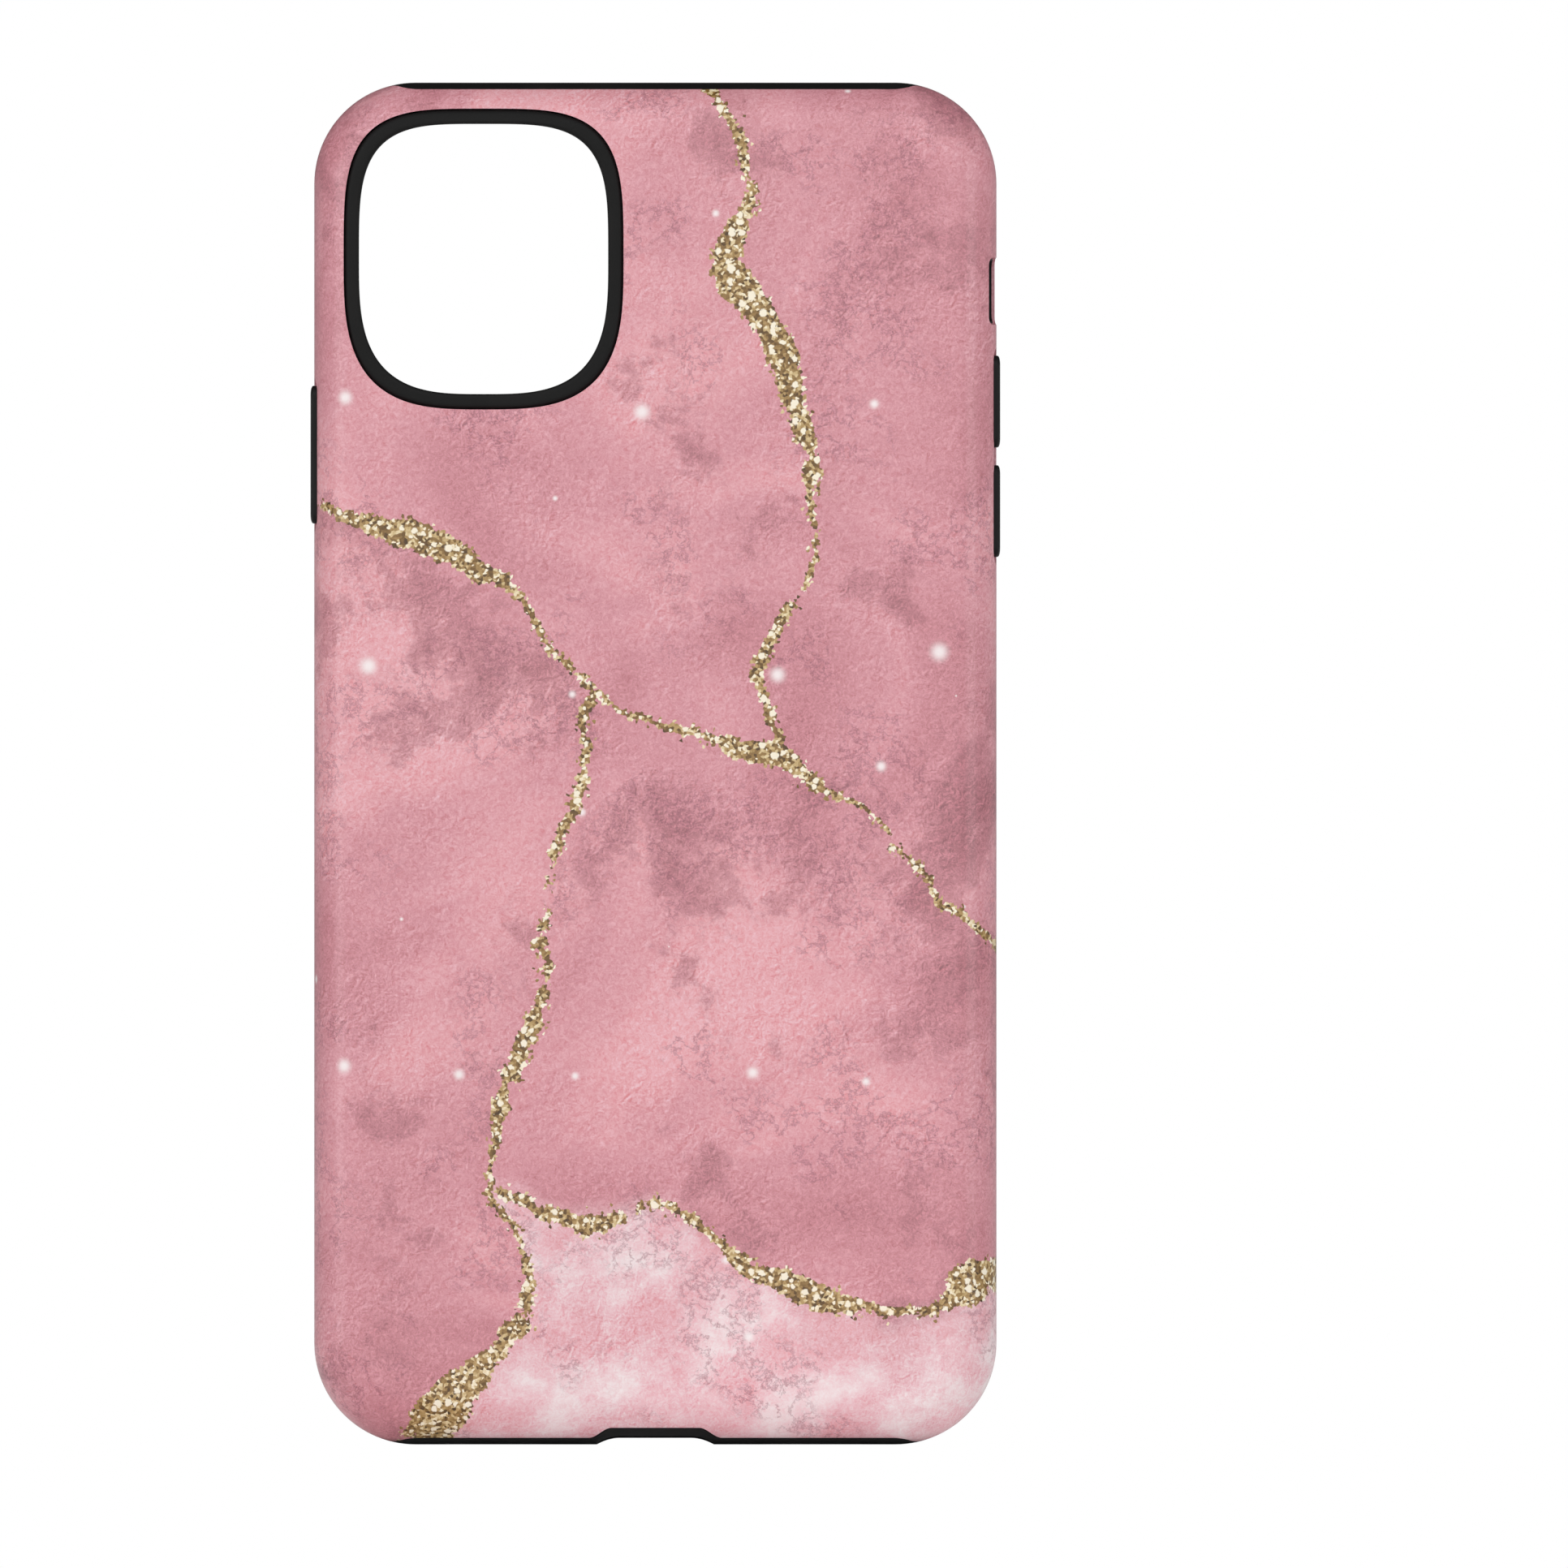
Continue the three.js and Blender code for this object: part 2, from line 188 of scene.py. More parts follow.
# %% Tray
CORNER_RADIUS = 12.1 * MM
BACK_ROLL_INSET = 5.5 * MM
BACK_ROLL_DEPTH = 6.3 * MM
FRONT_RADIUS = 5.1 * MM
FRONT_START = LIP - 4.35 * MM
ROLL_STEPS = 22
FRONT_STEPS = 12
SUPPORT = 0.4 * MM


def tray_profile(inset, back_inset, front):
    """Depths y and insets of the tray's edge, from the flat back to the front.

    Back: y = depth (1 - cos a), inset = width (1 - sin a), a quarter ellipse.
    Front: y = start + r sin b, inset = r (1 - cos b), a circle up to the front.
    """
    a = np.linspace(0, np.pi / 2, ROLL_STEPS + 1)
    depth = BACK_ROLL_DEPTH - back_inset
    width = BACK_ROLL_INSET - inset
    radius = FRONT_RADIUS - inset
    b = np.linspace(0, np.arcsin((front - FRONT_START) / radius), FRONT_STEPS + 1)
    rise = BACK + back_inset + depth * (1 - np.cos(a))
    y = np.concatenate([rise, FRONT_START + radius * np.sin(b)])
    roll = np.concatenate([width * (1 - np.sin(a)), radius * (1 - np.cos(b))])
    return y, inset + roll


def tray(name, inset, back_inset, front):
    """The tray body, drawn in by inset at the sides and by back_inset at the back."""
    y, total = tray_profile(inset, back_inset, front)
    rings = [
        rounded_ring(y[0], HALF_WIDTH - s, HALF_LENGTH - s, CORNER_RADIUS - s)
        for s in (total[0] + 2 * SUPPORT, total[0] + SUPPORT)
    ]
    rings += [
        rounded_ring(depth, HALF_WIDTH - s, HALF_LENGTH - s, CORNER_RADIUS - s)
        for depth, s in zip(y, total)
    ]
    return skin(name, rings)


print("rings of a tray:", len(tray_profile(0, 0, LIP)[0]) + 2)

# %% [markdown]
# ## The roll as a formula
#
# The dip over the port and the collar round the camera opening are drawn on the rolled face, so
# its shape is needed between the rings too. It could be read off the mesh with rays, but the
# quarter ellipse has a formula both ways: the inset from the depth, and the depth from the inset.

# %% Roll
def roll_inset(y):
    """How far the outer face is drawn in at depth y of the back roll: w (1 - sqrt(1 - q^2)),
    where q = 1 - (y - back) / depth."""
    q = 1 - (y - BACK) / BACK_ROLL_DEPTH
    return BACK_ROLL_INSET * (1 - np.sqrt(1 - q ** 2))


def roll_depth(inset):
    """The other way round: the depth y at which the outer face is drawn in by inset."""
    q = 1 - inset / BACK_ROLL_INSET
    return BACK + BACK_ROLL_DEPTH * (1 - np.sqrt(1 - q ** 2))


print("the roll is drawn in, mm, at 1 mm of depth:", round(roll_inset(BACK + MM) / MM, 2))

# %% [markdown]
# ## Bars
#
# The steel cores of a mould leave windows and slots. A straight bar of a flat outline stands for
# such a core. Nearly all the outlines here are rounded rectangles, and one whose radius is half
# its width is a capsule.

# %% Bars
SAME_POINT = 1e-4 * MM


def prism(name, outline, axis, low, high):
    """A straight bar of a flat outline. Across X the outline is (y, z), across Y (z, x) and
    across Z (x, y), each counter-clockwise, so that the faces point outwards."""
    outline = np.asarray(outline)
    count = len(outline)
    places = {"x": (0, 1, 2), "y": (1, 2, 0), "z": (2, 0, 1)}[axis]
    ends = []
    for level in (low, high):
        points = np.empty((count, 3))
        points[:, places[0]] = level
        points[:, places[1]] = outline[:, 0]
        points[:, places[2]] = outline[:, 1]
        ends.append(points)
    here = np.arange(count)
    after = (here + 1) % count
    faces = np.stack([here, after, count + after, count + here], axis=1).tolist()
    faces.append(here[::-1].tolist())
    faces.append((here + count).tolist())
    return mesh_object(name, np.concatenate(ends), faces)


def rounded_outline(centre, half, radius):
    """Outline of a rounded rectangle about a centre, with the given half sizes. Its corners are
    quarter circles, and points that fall together are dropped."""
    u, v = four_corners(*half, min(radius, *half))
    points = np.stack([centre[0] + u, centre[1] + v], axis=1)
    keep = np.linalg.norm(points - np.roll(points, 1, axis=0), axis=1) > SAME_POINT
    return points[keep]


capsule = rounded_outline((0, 0), (3 * MM, MM), MM)
print("points in a capsule:", len(capsule))

# %% [markdown]
# ## Carving
#
# A Boolean cut with the Manifold solver takes a bar out of a body. The other way would be to
# weave the holes into the grid by hand, which is far longer where they cross the roll. A small
# tablet with a round hole tries the cut, and is thrown away.

# %% Carving
def carve(target, cutter, operation="DIFFERENCE"):
    """Cuts, joins or intersects two closed bodies, and keeps the result in the target's mesh."""
    step = target.modifiers.new("carve", "BOOLEAN")
    step.operation = operation
    step.solver = "MANIFOLD"
    step.object = cutter
    graph = bpy.context.evaluated_depsgraph_get()
    made = bpy.data.meshes.new_from_object(target.evaluated_get(graph))
    target.modifiers.remove(step)
    made.materials.clear()
    old = target.data
    target.data = made
    bpy.data.meshes.remove(old)
    bpy.data.objects.remove(cutter)
    return target


tablet = prism("tablet", rounded_outline((0, 0), (5 * MM, 3 * MM), 2 * MM), "y", 0, 2 * MM)
hole = prism("hole", rounded_outline((0, 0), (MM, MM), MM), "y", -MM, 3 * MM)
report(carve(tablet, hole))
bpy.data.objects.remove(tablet)

# %% [markdown]
# ## Where the shell leaves the liner bare
#
# The shell ends short of the screen, and at both ends of the case its edge steps back, so that
# the soft rubber shows and can be bent off the phone. Over the charging port the edge dips once
# more, for the plug. The edge of each bare place is one outline, and the liner's raised parts
# use the same outline drawn in by the gap between the layers, so they always fit.

# %% Bare ends
OVERRUN = 1.0 * MM
CUTBACK_CORNER = 37.75 * MM
CUTBACK_RADIUS = 5.6 * MM
CUTBACK_FILLET = 2.6 * MM
CUTBACK_HEIGHT = 3.05 * MM
CUTBACK_ANGLE = np.radians(57)
RELIEF_HALF = 8.0 * MM
RELIEF_HEIGHT = 1.45 * MM
RELIEF_RAMP = 2.8 * MM
RELIEF_STEPS = 20
ARC_STEPS = 14


def arc(centre, radius, start, end):
    """Points of a circular arc from one angle to another."""
    turn = np.linspace(start, end, ARC_STEPS + 1)
    return np.stack([centre[0] + radius * np.cos(turn), centre[1] + radius * np.sin(turn)], axis=1)


def cutback_outline(margin, relief):
    """The bare place at an end, as (x, y): a step with rolled corners and a leaning side.

    The upper corner is an arc that turns through the side's angle, the lower one a fillet that
    touches the same leaning line. The dip at the port has a soft S on each side, drawn so that
    it is half a cosine wave when seen from behind, where only the roll's inset shows.
    """
    floor = BACK + CUTBACK_HEIGHT + margin
    top_y = SHELL_FRONT - CUTBACK_RADIUS
    top_radius = CUTBACK_RADIUS + margin
    fillet = CUTBACK_FILLET - margin
    fillet_y = floor + fillet
    lean = np.pi / 2 + CUTBACK_ANGLE
    line = (CUTBACK_CORNER + top_radius * np.cos(lean), top_y + top_radius * np.sin(lean))
    run = fillet - (fillet_y - line[1]) * np.cos(CUTBACK_ANGLE)
    fillet_x = line[0] - run / np.sin(CUTBACK_ANGLE)
    low_arc = arc((fillet_x, fillet_y), fillet, 1.5 * np.pi, 1.5 * np.pi + CUTBACK_ANGLE)
    top_arc = arc((CUTBACK_CORNER, top_y), top_radius, lean, np.pi / 2)
    right = np.concatenate([low_arc, top_arc, [(CUTBACK_CORNER, LIP + OVERRUN)]])
    if relief:
        shallow = roll_inset(floor)
        deep = roll_inset(BACK + RELIEF_HEIGHT + margin)
        t = np.linspace(0, 1, RELIEF_STEPS + 1)
        x = RELIEF_HALF - margin + (t - 1) * RELIEF_RAMP
        y = roll_depth(deep + (shallow - deep) * (1 - np.cos(np.pi * t)) / 2)
        right = np.concatenate([np.stack([x, y], axis=1), right])
    left = right[::-1] * (-1, 1)
    return np.concatenate([right, left])


bare_end = np.ptp(cutback_outline(0, False), axis=0) / MM
print("bare end, mm wide and deep:", np.round(bare_end, 2).tolist())

# %% [markdown]
# ## Cutters for the bare places
#
# One bar takes off all that lies in front of the shell's edge, and one at each end takes off what
# the stepped outline leaves bare. Drawn in by the gap between the layers and cut to the case's
# outer face, the same bars become the liner's raised places.

# %% Bare places
def bare_places(margin):
    """Cutters for the flange and both ends, drawn in from the shell by margin."""
    slab = rounded_outline((0, 0), (HALF_LENGTH + OVERRUN, HALF_WIDTH + OVERRUN), OVERRUN)
    reach = HALF_LENGTH - CORNER_RADIUS
    return [
        prism("flange", slab, "y", SHELL_FRONT + margin, LIP + OVERRUN),
        prism("top_end", cutback_outline(margin, False), "z", reach, HALF_LENGTH + OVERRUN),
        prism("bottom_end", cutback_outline(margin, True), "z", -HALF_LENGTH - OVERRUN, -reach),
    ]


print("the ends begin, mm from the middle:", round((HALF_LENGTH - CORNER_RADIUS) / MM, 2))

# %% [markdown]
# ## The camera opening
#
# The back has one large opening, high in a corner. Its outline is between a rectangle and an
# oval, which a superellipse gives with one number, its power. Arcs joined to straight lines
# would show a break in the highlight wherever they meet.

# %% Camera opening
CAMERA_X = -20.55 * MM
CAMERA_Z = HALF_LENGTH - 21.1 * MM
CAMERA_HALF = (33.5 / 2 * MM, 36.0 / 2 * MM)
UPPER_POWER = 3.75
LOWER_POWER = 3.15
CAMERA_POINTS = 240


def camera_outline(shrink):
    """The camera opening as (x, z): a superellipse, |x/a|^p + |z/b|^p = 1.

    The power p is higher in the upper half, which is squarer. It is one power on each side of
    the level line, where the outline is upright anyway, so the halves meet smoothly.
    """
    turn = np.linspace(0, 2 * np.pi, CAMERA_POINTS, endpoint=False)
    power = np.where(np.sin(turn) > 0, UPPER_POWER, LOWER_POWER)
    cos, sin = np.cos(turn), np.sin(turn)
    x = CAMERA_X + (CAMERA_HALF[0] - shrink) * np.sign(cos) * np.abs(cos) ** (2 / power)
    z = CAMERA_Z + (CAMERA_HALF[1] - shrink) * np.sign(sin) * np.abs(sin) ** (2 / power)
    return np.stack([x, z], axis=1)


def camera_ring(y, shrink):
    """The camera outline as a ring at depth y."""
    flat = camera_outline(shrink)
    return np.stack([flat[:, 0], np.full(len(flat), y), flat[:, 1]], axis=1)


print("camera opening, mm:", np.round(np.ptp(camera_outline(0), axis=0) / MM, 2).tolist())

# %% [markdown]
# ## The collar
#
# The liner comes out through the camera opening as a soft black collar, flush with the back and
# rounded along both edges. The opening is close to the case's edge, where the back rolls away, so
# the collar's rings are laid on the roll's formula and not on a plane.

# %% Collar
COLLAR_WALL = 1.85 * MM
COLLAR_INNER_ROUND = 0.45 * MM
COLLAR_OUTER_ROUND = 0.5 * MM
COLLAR_ROUND_STEPS = 6
COLLAR_TOP_RINGS = 9
PAST_SEAT = 0.8 * MM


def collar_ring(depth, shrink):
    """The camera outline at a depth under the case's outer face, which rolls away at the edge:
    the inset of a place is the corner's radius less its distance from the plan's core."""
    flat = camera_outline(shrink)
    core = np.array([HALF_WIDTH - CORNER_RADIUS, HALF_LENGTH - CORNER_RADIUS])
    away = np.linalg.norm(flat - np.clip(flat, -core, core), axis=1)
    face = roll_depth(np.minimum(CORNER_RADIUS - away, BACK_ROLL_INSET))
    return np.stack([flat[:, 0], face + depth, flat[:, 1]], axis=1)


def collar_plug(margin):
    """The raised place round the camera, whose outer edge is rounded by a quarter circle:
    inset = r (1 - cos b) at depth r (1 - sin b)."""
    b = np.linspace(np.pi / 2, 0, COLLAR_ROUND_STEPS + 1)[1:]
    depth = COLLAR_OUTER_ROUND * (1 - np.sin(b))
    shrink = margin + COLLAR_OUTER_ROUND * (1 - np.cos(b))
    top = np.linspace(COLLAR_WALL + OVERRUN, margin + COLLAR_OUTER_ROUND, COLLAR_TOP_RINGS)
    rings = [collar_ring(0, s) for s in top]
    rings += [collar_ring(d, s) for d, s in zip(depth, shrink)]
    return skin("camera_collar", rings + [camera_ring(PAST_SEAT, margin)])


def camera_opening():
    """The opening inside the collar, whose outer edge is rounded by a quarter circle."""
    a = np.linspace(np.pi / 2, 0, COLLAR_ROUND_STEPS + 1)
    depth = COLLAR_INNER_ROUND * (1 - np.sin(a))
    shrink = COLLAR_WALL - COLLAR_INNER_ROUND * (1 - np.cos(a))
    rings = [camera_ring(BACK - OVERRUN, shrink[0])]
    rings += [collar_ring(d, s) for d, s in zip(depth, shrink)]
    return skin("camera_opening", rings + [camera_ring(OVERRUN, COLLAR_WALL)])


print("the collar's edge falls by, mm:", round(np.ptp(collar_ring(0, 0)[:, 1]) / MM, 2))

# %% [markdown]
# ## Walls
#
# The shell is 0.9 mm thick at the sides, as a hard snap-on shell is. The liner inside it is a
# little thinner at the sides and thicker at the ends, where it takes the knocks. What is left
# between the walls is the phone's size plus a tenth of a millimetre of room.

# %% Walls
SHELL_BACK = 1.0 * MM
SHELL_WALL = 0.9 * MM
LAYER_GAP = 0.15 * MM
LINER_SIDE = 0.75 * MM
LINER_END = 1.3 * MM

CAVITY_SIDE = HALF_WIDTH - SHELL_WALL - LAYER_GAP - LINER_SIDE
CAVITY_END = HALF_LENGTH - SHELL_WALL - LAYER_GAP - LINER_END
CAVITY_RADIUS = CORNER_RADIUS - SHELL_WALL - LAYER_GAP - LINER_SIDE
LIP_THICKNESS = 1.4 * MM
CAVITY_HEIGHT = LIP - LIP_THICKNESS
cavity = (2 * CAVITY_SIDE, 2 * CAVITY_END, CAVITY_HEIGHT)
print("space for the phone, mm:", [round(size / MM, 2) for size in cavity])

# %% [markdown]
# ## Places of the pads
#
# The side buttons are pressed through soft pads, two on one side and a longer one on the other.
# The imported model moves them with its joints, so their places are read from it and not written
# down a second time.

# %% Places of the pads
PADS = {
    "volume_up_cover": "volume_up",
    "volume_down_cover": "volume_down",
    "side_button_cover": "side_button",
}
WINDOWS = ((1, ["volume_up_cover", "volume_down_cover"]), (-1, ["side_button_cover"]))
pad_boxes = {node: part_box(node) for node in PADS}


def face_of(box):
    """The face of a pad as it is pressed: its centre and its half size, both as (y, z)."""
    low, high = (np.array([corner.y, corner.z]) for corner in box)
    return (low + high) / 2, (high - low) / 2


for node, box in pad_boxes.items():
    print(node, "mm:", np.round(2 * face_of(box)[1] / MM, 2).tolist())

# %% [markdown]
# ## Windows
#
# Each pad stands in a window of the shell, and the two volume pads share one window with a waist
# between them. Its outline could be one long path, but the union of three capsules gives the
# same waist and leaves less to get wrong.

# %% Windows
WINDOW_HALF = 3.6 / 2 * MM
WINDOW_END = 0.95 * MM
WAIST_MARGIN = 0.5 * MM
WAIST_INSET = 0.2 * MM


def window_outlines(nodes, margin):
    """The outlines, as (y, z), whose union is the window round some pads, grown by margin.

    One is a capsule over all the pads, a little narrow. The others are a full capsule round
    each pad, which leaves a waist between two pads.
    """
    low = min(pad_boxes[node][0].z for node in nodes)
    high = max(pad_boxes[node][1].z for node in nodes)
    middle = face_of(pad_boxes[nodes[0]])[0][0]
    half = WINDOW_HALF + margin
    end = WINDOW_END + margin - WAIST_INSET
    spans = [(low - end, high + end, half - WAIST_INSET)]
    for node in nodes:
        bottom, top = (corner.z for corner in pad_boxes[node])
        below = margin + (WINDOW_END if bottom == low else WAIST_MARGIN)
        above = margin + (WINDOW_END if top == high else WAIST_MARGIN)
        spans.append((bottom - below, top + above, half))
    return [
        rounded_outline((middle, (bottom + top) / 2), (radius, (top - bottom) / 2), radius)
        for bottom, top, radius in spans
    ]


volume_window = np.concatenate(window_outlines(WINDOWS[0][1], 0))
print("volume window, mm:", np.round(np.ptp(volume_window, axis=0) / MM, 2).tolist())

# %% [markdown]
# ## Cutters for the windows
#
# A window is cut by straight bars along X, from the phone's side out past the case, one for each
# outline. The plain window above the volume pads is a rounded rectangle of its own.

# %% Window cutters
MUTE_HALF = (5.8 / 2 * MM, 8.0 / 2 * MM)
MUTE_CENTRE = (BACK + 5.75 * MM, HALF_LENGTH - 24.95 * MM)
MUTE_RADIUS = 0.9 * MM


def side_bar(name, side, outline, inner, outer):
    """A prism that runs outwards along X on one side."""
    low, high = (inner, outer) if side > 0 else (-outer, -inner)
    return prism(name, outline, "x", low, high)


def window_bars(margin):
    """Cutters for the two button windows and the mute window, grown by margin."""
    outer = HALF_WIDTH + OVERRUN
    bars = []
    for side, nodes in WINDOWS:
        for outline in window_outlines(nodes, margin):
            bars.append(side_bar("button_window", side, outline, CAVITY_SIDE, outer))
    mute_half = (MUTE_HALF[0] + margin, MUTE_HALF[1] + margin)
    mute = rounded_outline(MUTE_CENTRE, mute_half, MUTE_RADIUS + margin)
    bars.append(side_bar("mute_window", 1, mute, CAVITY_SIDE, outer))
    return bars


print("plain window, mm:", [round(2 * half / MM, 2) for half in MUTE_HALF])

# %% [markdown]
# ## The hard shell
#
# On the real case the shell is one injection moulding, about a millimetre thick. It is cut here
# as the mould does it: an outer tray less an inner one, less everything it leaves bare.

# %% Shell
SHARP_ANGLE = np.radians(35)
FLAT_FACES_LEAD = 100


def finish_edges(piece):
    """Smooth shading with sharp edges above an angle, weighted so that flat faces stay flat."""
    mesh = piece.data
    mesh.polygons.foreach_set("use_smooth", np.ones(len(mesh.polygons), bool))
    mesh.update()
    chosen = {"active_object": piece, "object": piece, "selected_editable_objects": [piece]}
    with bpy.context.temp_override(**chosen):
        bpy.ops.object.shade_smooth_by_angle(angle=SHARP_ANGLE)
    weigh = piece.modifiers.new("flat_faces_lead", "WEIGHTED_NORMAL")
    weigh.keep_sharp = True
    weigh.weight = FLAT_FACES_LEAD
    return piece


shell = tray("printed_shell", 0, 0, LIP)
carve(shell, tray("shell_inside", SHELL_WALL, SHELL_BACK, SHELL_FRONT + LAYER_GAP))
for cutter in bare_places(0) + window_bars(0):
    carve(shell, cutter)
carve(shell, skin("camera_hole", [camera_ring(BACK - OVERRUN, 0), camera_ring(PAST_SEAT, 0)]))
finish_edges(shell)
report(shell)

# %% [markdown]
# ## The space for the phone
#
# The liner's inside is the phone's own shape: long edges that are round from back to front. The
# opening over the screen is smaller, so a lip holds the phone in, and the lip's edge is rounded
# where a thumb slides over it.

# %% Space for the phone
PHONE_ROUND = 4.0 * MM
SCREEN_OVERHANG = 1.9 * MM
FIT = 0.1 * MM
LIP_ROUND = 0.4 * MM
LIP_ROUND_STEPS = 6


def phone_space():
    """The cavity: rings of a half turn, y = h/2 (1 - cos a), drawn in by r (1 - sin a)."""
    a = np.linspace(0, np.pi, 2 * ROLL_STEPS + 1)
    roll = PHONE_ROUND * (1 - np.sin(a))
    y = CAVITY_HEIGHT / 2 * (1 - np.cos(a))
    rings = [
        rounded_ring(depth, CAVITY_SIDE - s, CAVITY_END - s, CAVITY_RADIUS - s)
        for depth, s in zip(y, roll)
    ]
    return skin("phone_space", rings)


def screen_opening():
    """The opening over the screen, whose front edge is rounded by a quarter circle:
    y = lip - r + r sin a, grown by r (1 - cos a)."""
    back_off = SCREEN_OVERHANG + FIT
    width, length, radius = (v - back_off for v in (CAVITY_SIDE, CAVITY_END, CAVITY_RADIUS))
    a = np.linspace(0, np.pi / 2, LIP_ROUND_STEPS + 1)
    edge = LIP - LIP_ROUND + LIP_ROUND * np.sin(a)
    y = np.concatenate([[CAVITY_HEIGHT / 2], edge, [LIP + OVERRUN]])
    grow = np.concatenate([[0], LIP_ROUND * (1 - np.cos(a)), [LIP_ROUND]])
    rings = [rounded_ring(d, width + g, length + g, radius + g) for d, g in zip(y, grow)]
    return skin("screen_opening", rings)


print("screen opening, mm wide:", round(2 * (CAVITY_SIDE - SCREEN_OVERHANG - FIT) / MM, 2))

# %% [markdown]
# ## Port and speakers
#
# The bottom wall of the liner is open for the charging plug, and has a slot for sound on each
# side of it. They are cut straight up through the wall, as a core of the mould would leave them.

# %% Port and speakers
PORT_BACK = 2.7 * MM
PORT_HALF_HEIGHT = 3.6 * MM
PORT_WIDTH = 14.0 * MM
PORT_RADIUS = 2.7 * MM
SPEAKER_X = 19.0 * MM
SPEAKER_HALF = (6.5 * MM, 1.0 * MM)


def bottom_bars():
    """Cutters for the charging port and the two speaker slots."""
    middle = BACK + PORT_BACK + PORT_HALF_HEIGHT
    span = (-HALF_LENGTH - OVERRUN, -CAVITY_END + PHONE_ROUND)
    port = rounded_outline((0, middle), (PORT_WIDTH / 2, PORT_HALF_HEIGHT), PORT_RADIUS)
    bars = [prism("port", port, "z", *span)]
    for side in (-1, 1):
        slot = rounded_outline((side * SPEAKER_X, middle), SPEAKER_HALF, SPEAKER_HALF[1])
        bars.append(prism("speaker", slot, "z", *span))
    return bars


print("port, mm:", round(PORT_WIDTH / MM, 2), "by", round(2 * PORT_HALF_HEIGHT / MM, 2))

# %% [markdown]
# ## The soft liner
#
# The liner is moulded in black thermoplastic rubber. Its outside fills the shell and comes flush
# wherever the shell leaves it bare. In each window it has a boss, a little lower than the shell's
# face, with a slot for the pad. The real pad hangs in a thin web of the liner, so each slot
# keeps a skin of rubber at its bottom and no light comes through.

# %% Liner
BOSS_RECESS = 0.45 * MM
MUTE_RIM = 0.35 * MM
PAD_CLEARANCE = 0.1 * MM
PAD_RADIUS = 1.2 * MM
PAD_WEB = 0.06 * MM

liner_front = SHELL_FRONT + 2 * LAYER_GAP
liner = tray("soft_liner", SHELL_WALL + LAYER_GAP, SHELL_BACK + LAYER_GAP, liner_front)
for zone in bare_places(LAYER_GAP):
    carve(zone, tray("flush", 0, 0, LIP), "INTERSECT")
    carve(liner, zone, "UNION")
carve(liner, collar_plug(LAYER_GAP), "UNION")
for boss in window_bars(-LAYER_GAP):
    carve(boss, tray("recessed", BOSS_RECESS, BOSS_RECESS, SHELL_FRONT), "INTERSECT")
    carve(liner, boss, "UNION")
carve(liner, phone_space())
carve(liner, screen_opening())
carve(liner, camera_opening())
outside = HALF_WIDTH + OVERRUN
mute_hole = rounded_outline(MUTE_CENTRE, [half - MUTE_RIM for half in MUTE_HALF], MUTE_RADIUS)
carve(liner, side_bar("mute_hole", 1, mute_hole, CAVITY_SIDE - 2 * OVERRUN, outside))
for bar in bottom_bars():
    carve(liner, bar)
for box in pad_boxes.values():
    centre, half = face_of(box)
    slot = rounded_outline(centre, half + PAD_CLEARANCE, PAD_RADIUS + PAD_CLEARANCE)
    carve(liner, side_bar("slot", np.sign(box[0].x), slot, CAVITY_SIDE + PAD_WEB, outside))
finish_edges(liner)
report(liner)

# %% [markdown]
# ## The button pads
#
# A pad is a small bar of the liner's rubber, straight where it runs in its slot and softly
# crowned where a finger presses it. Its rings shrink towards the middle along a curve like an
# ellipse's, but flatter at the face.

# %% Pads
CROWN = 0.5 * MM
CROWN_STEPS = 14
CROWN_POWER = 1.6
LEAST_RADIUS = 0.05 * MM


def pad_surface(node):
    """A crowned bar in the place of a packed pad.

    Out to the shoulder the ring is the pad's outline. Past it the outline shrinks by
    s = w (1 - cos a)^p while it rises by h sin a, so the edge is round and the face nearly flat.
    """
    side = np.sign(pad_boxes[node][0].x)
    inner, outer = sorted(abs(corner.x) for corner in pad_boxes[node])
    centre, half = face_of(pad_boxes[node])
    a = np.linspace(0, np.pi / 2, CROWN_STEPS + 1)
    heights = np.concatenate([[inner, inner + PAD_CLEARANCE], outer - CROWN + CROWN * np.sin(a)])
    crowned = (half[0] - PAD_CLEARANCE) * (1 - np.cos(a)) ** CROWN_POWER
    shrinks = np.concatenate([[PAD_CLEARANCE, 0], crowned])
    rings = []
    for height, s in zip(heights, shrinks):
        u, v = four_corners(*(half - s), max(PAD_RADIUS - s, LEAST_RADIUS))
        x = np.full(u.size, side * height)
        rings.append(np.stack([x, centre[0] + u, centre[1] + v], axis=1))
    if side < 0:
        rings = [ring[::-1] for ring in rings]
    return skin(node.replace("_cover", "_pad"), rings)


pads = {}
for node in PADS:
    pads[node] = finish_edges(pad_surface(node))
    report(pads[node])

# %% [markdown]
# ## Bodies
#
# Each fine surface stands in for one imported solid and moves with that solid's body: shell and
# liner are one body, and every pad slides on its own.

# %% Put every piece on its body
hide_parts("outer_shell")
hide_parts("inner_liner")
for node, body in PADS.items():
    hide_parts(node)
    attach(pads[node], body)
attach(shell, "case")
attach(liner, "case")
print("pieces:", [shell.name, liner.name] + [pad.name for pad in pads.values()])

# %% [markdown]
# ## Where the print lies
#
# The print is a picture pressed onto the shell with heat, and it wraps over the rolled edge. So
# each point of the shell needs its place in the flat picture. On the flat back that is simply
# x and z. On the roll it goes on outwards by the length of the curve, not by its shadow, or the
# pattern would be drawn into long streaks on the sides.

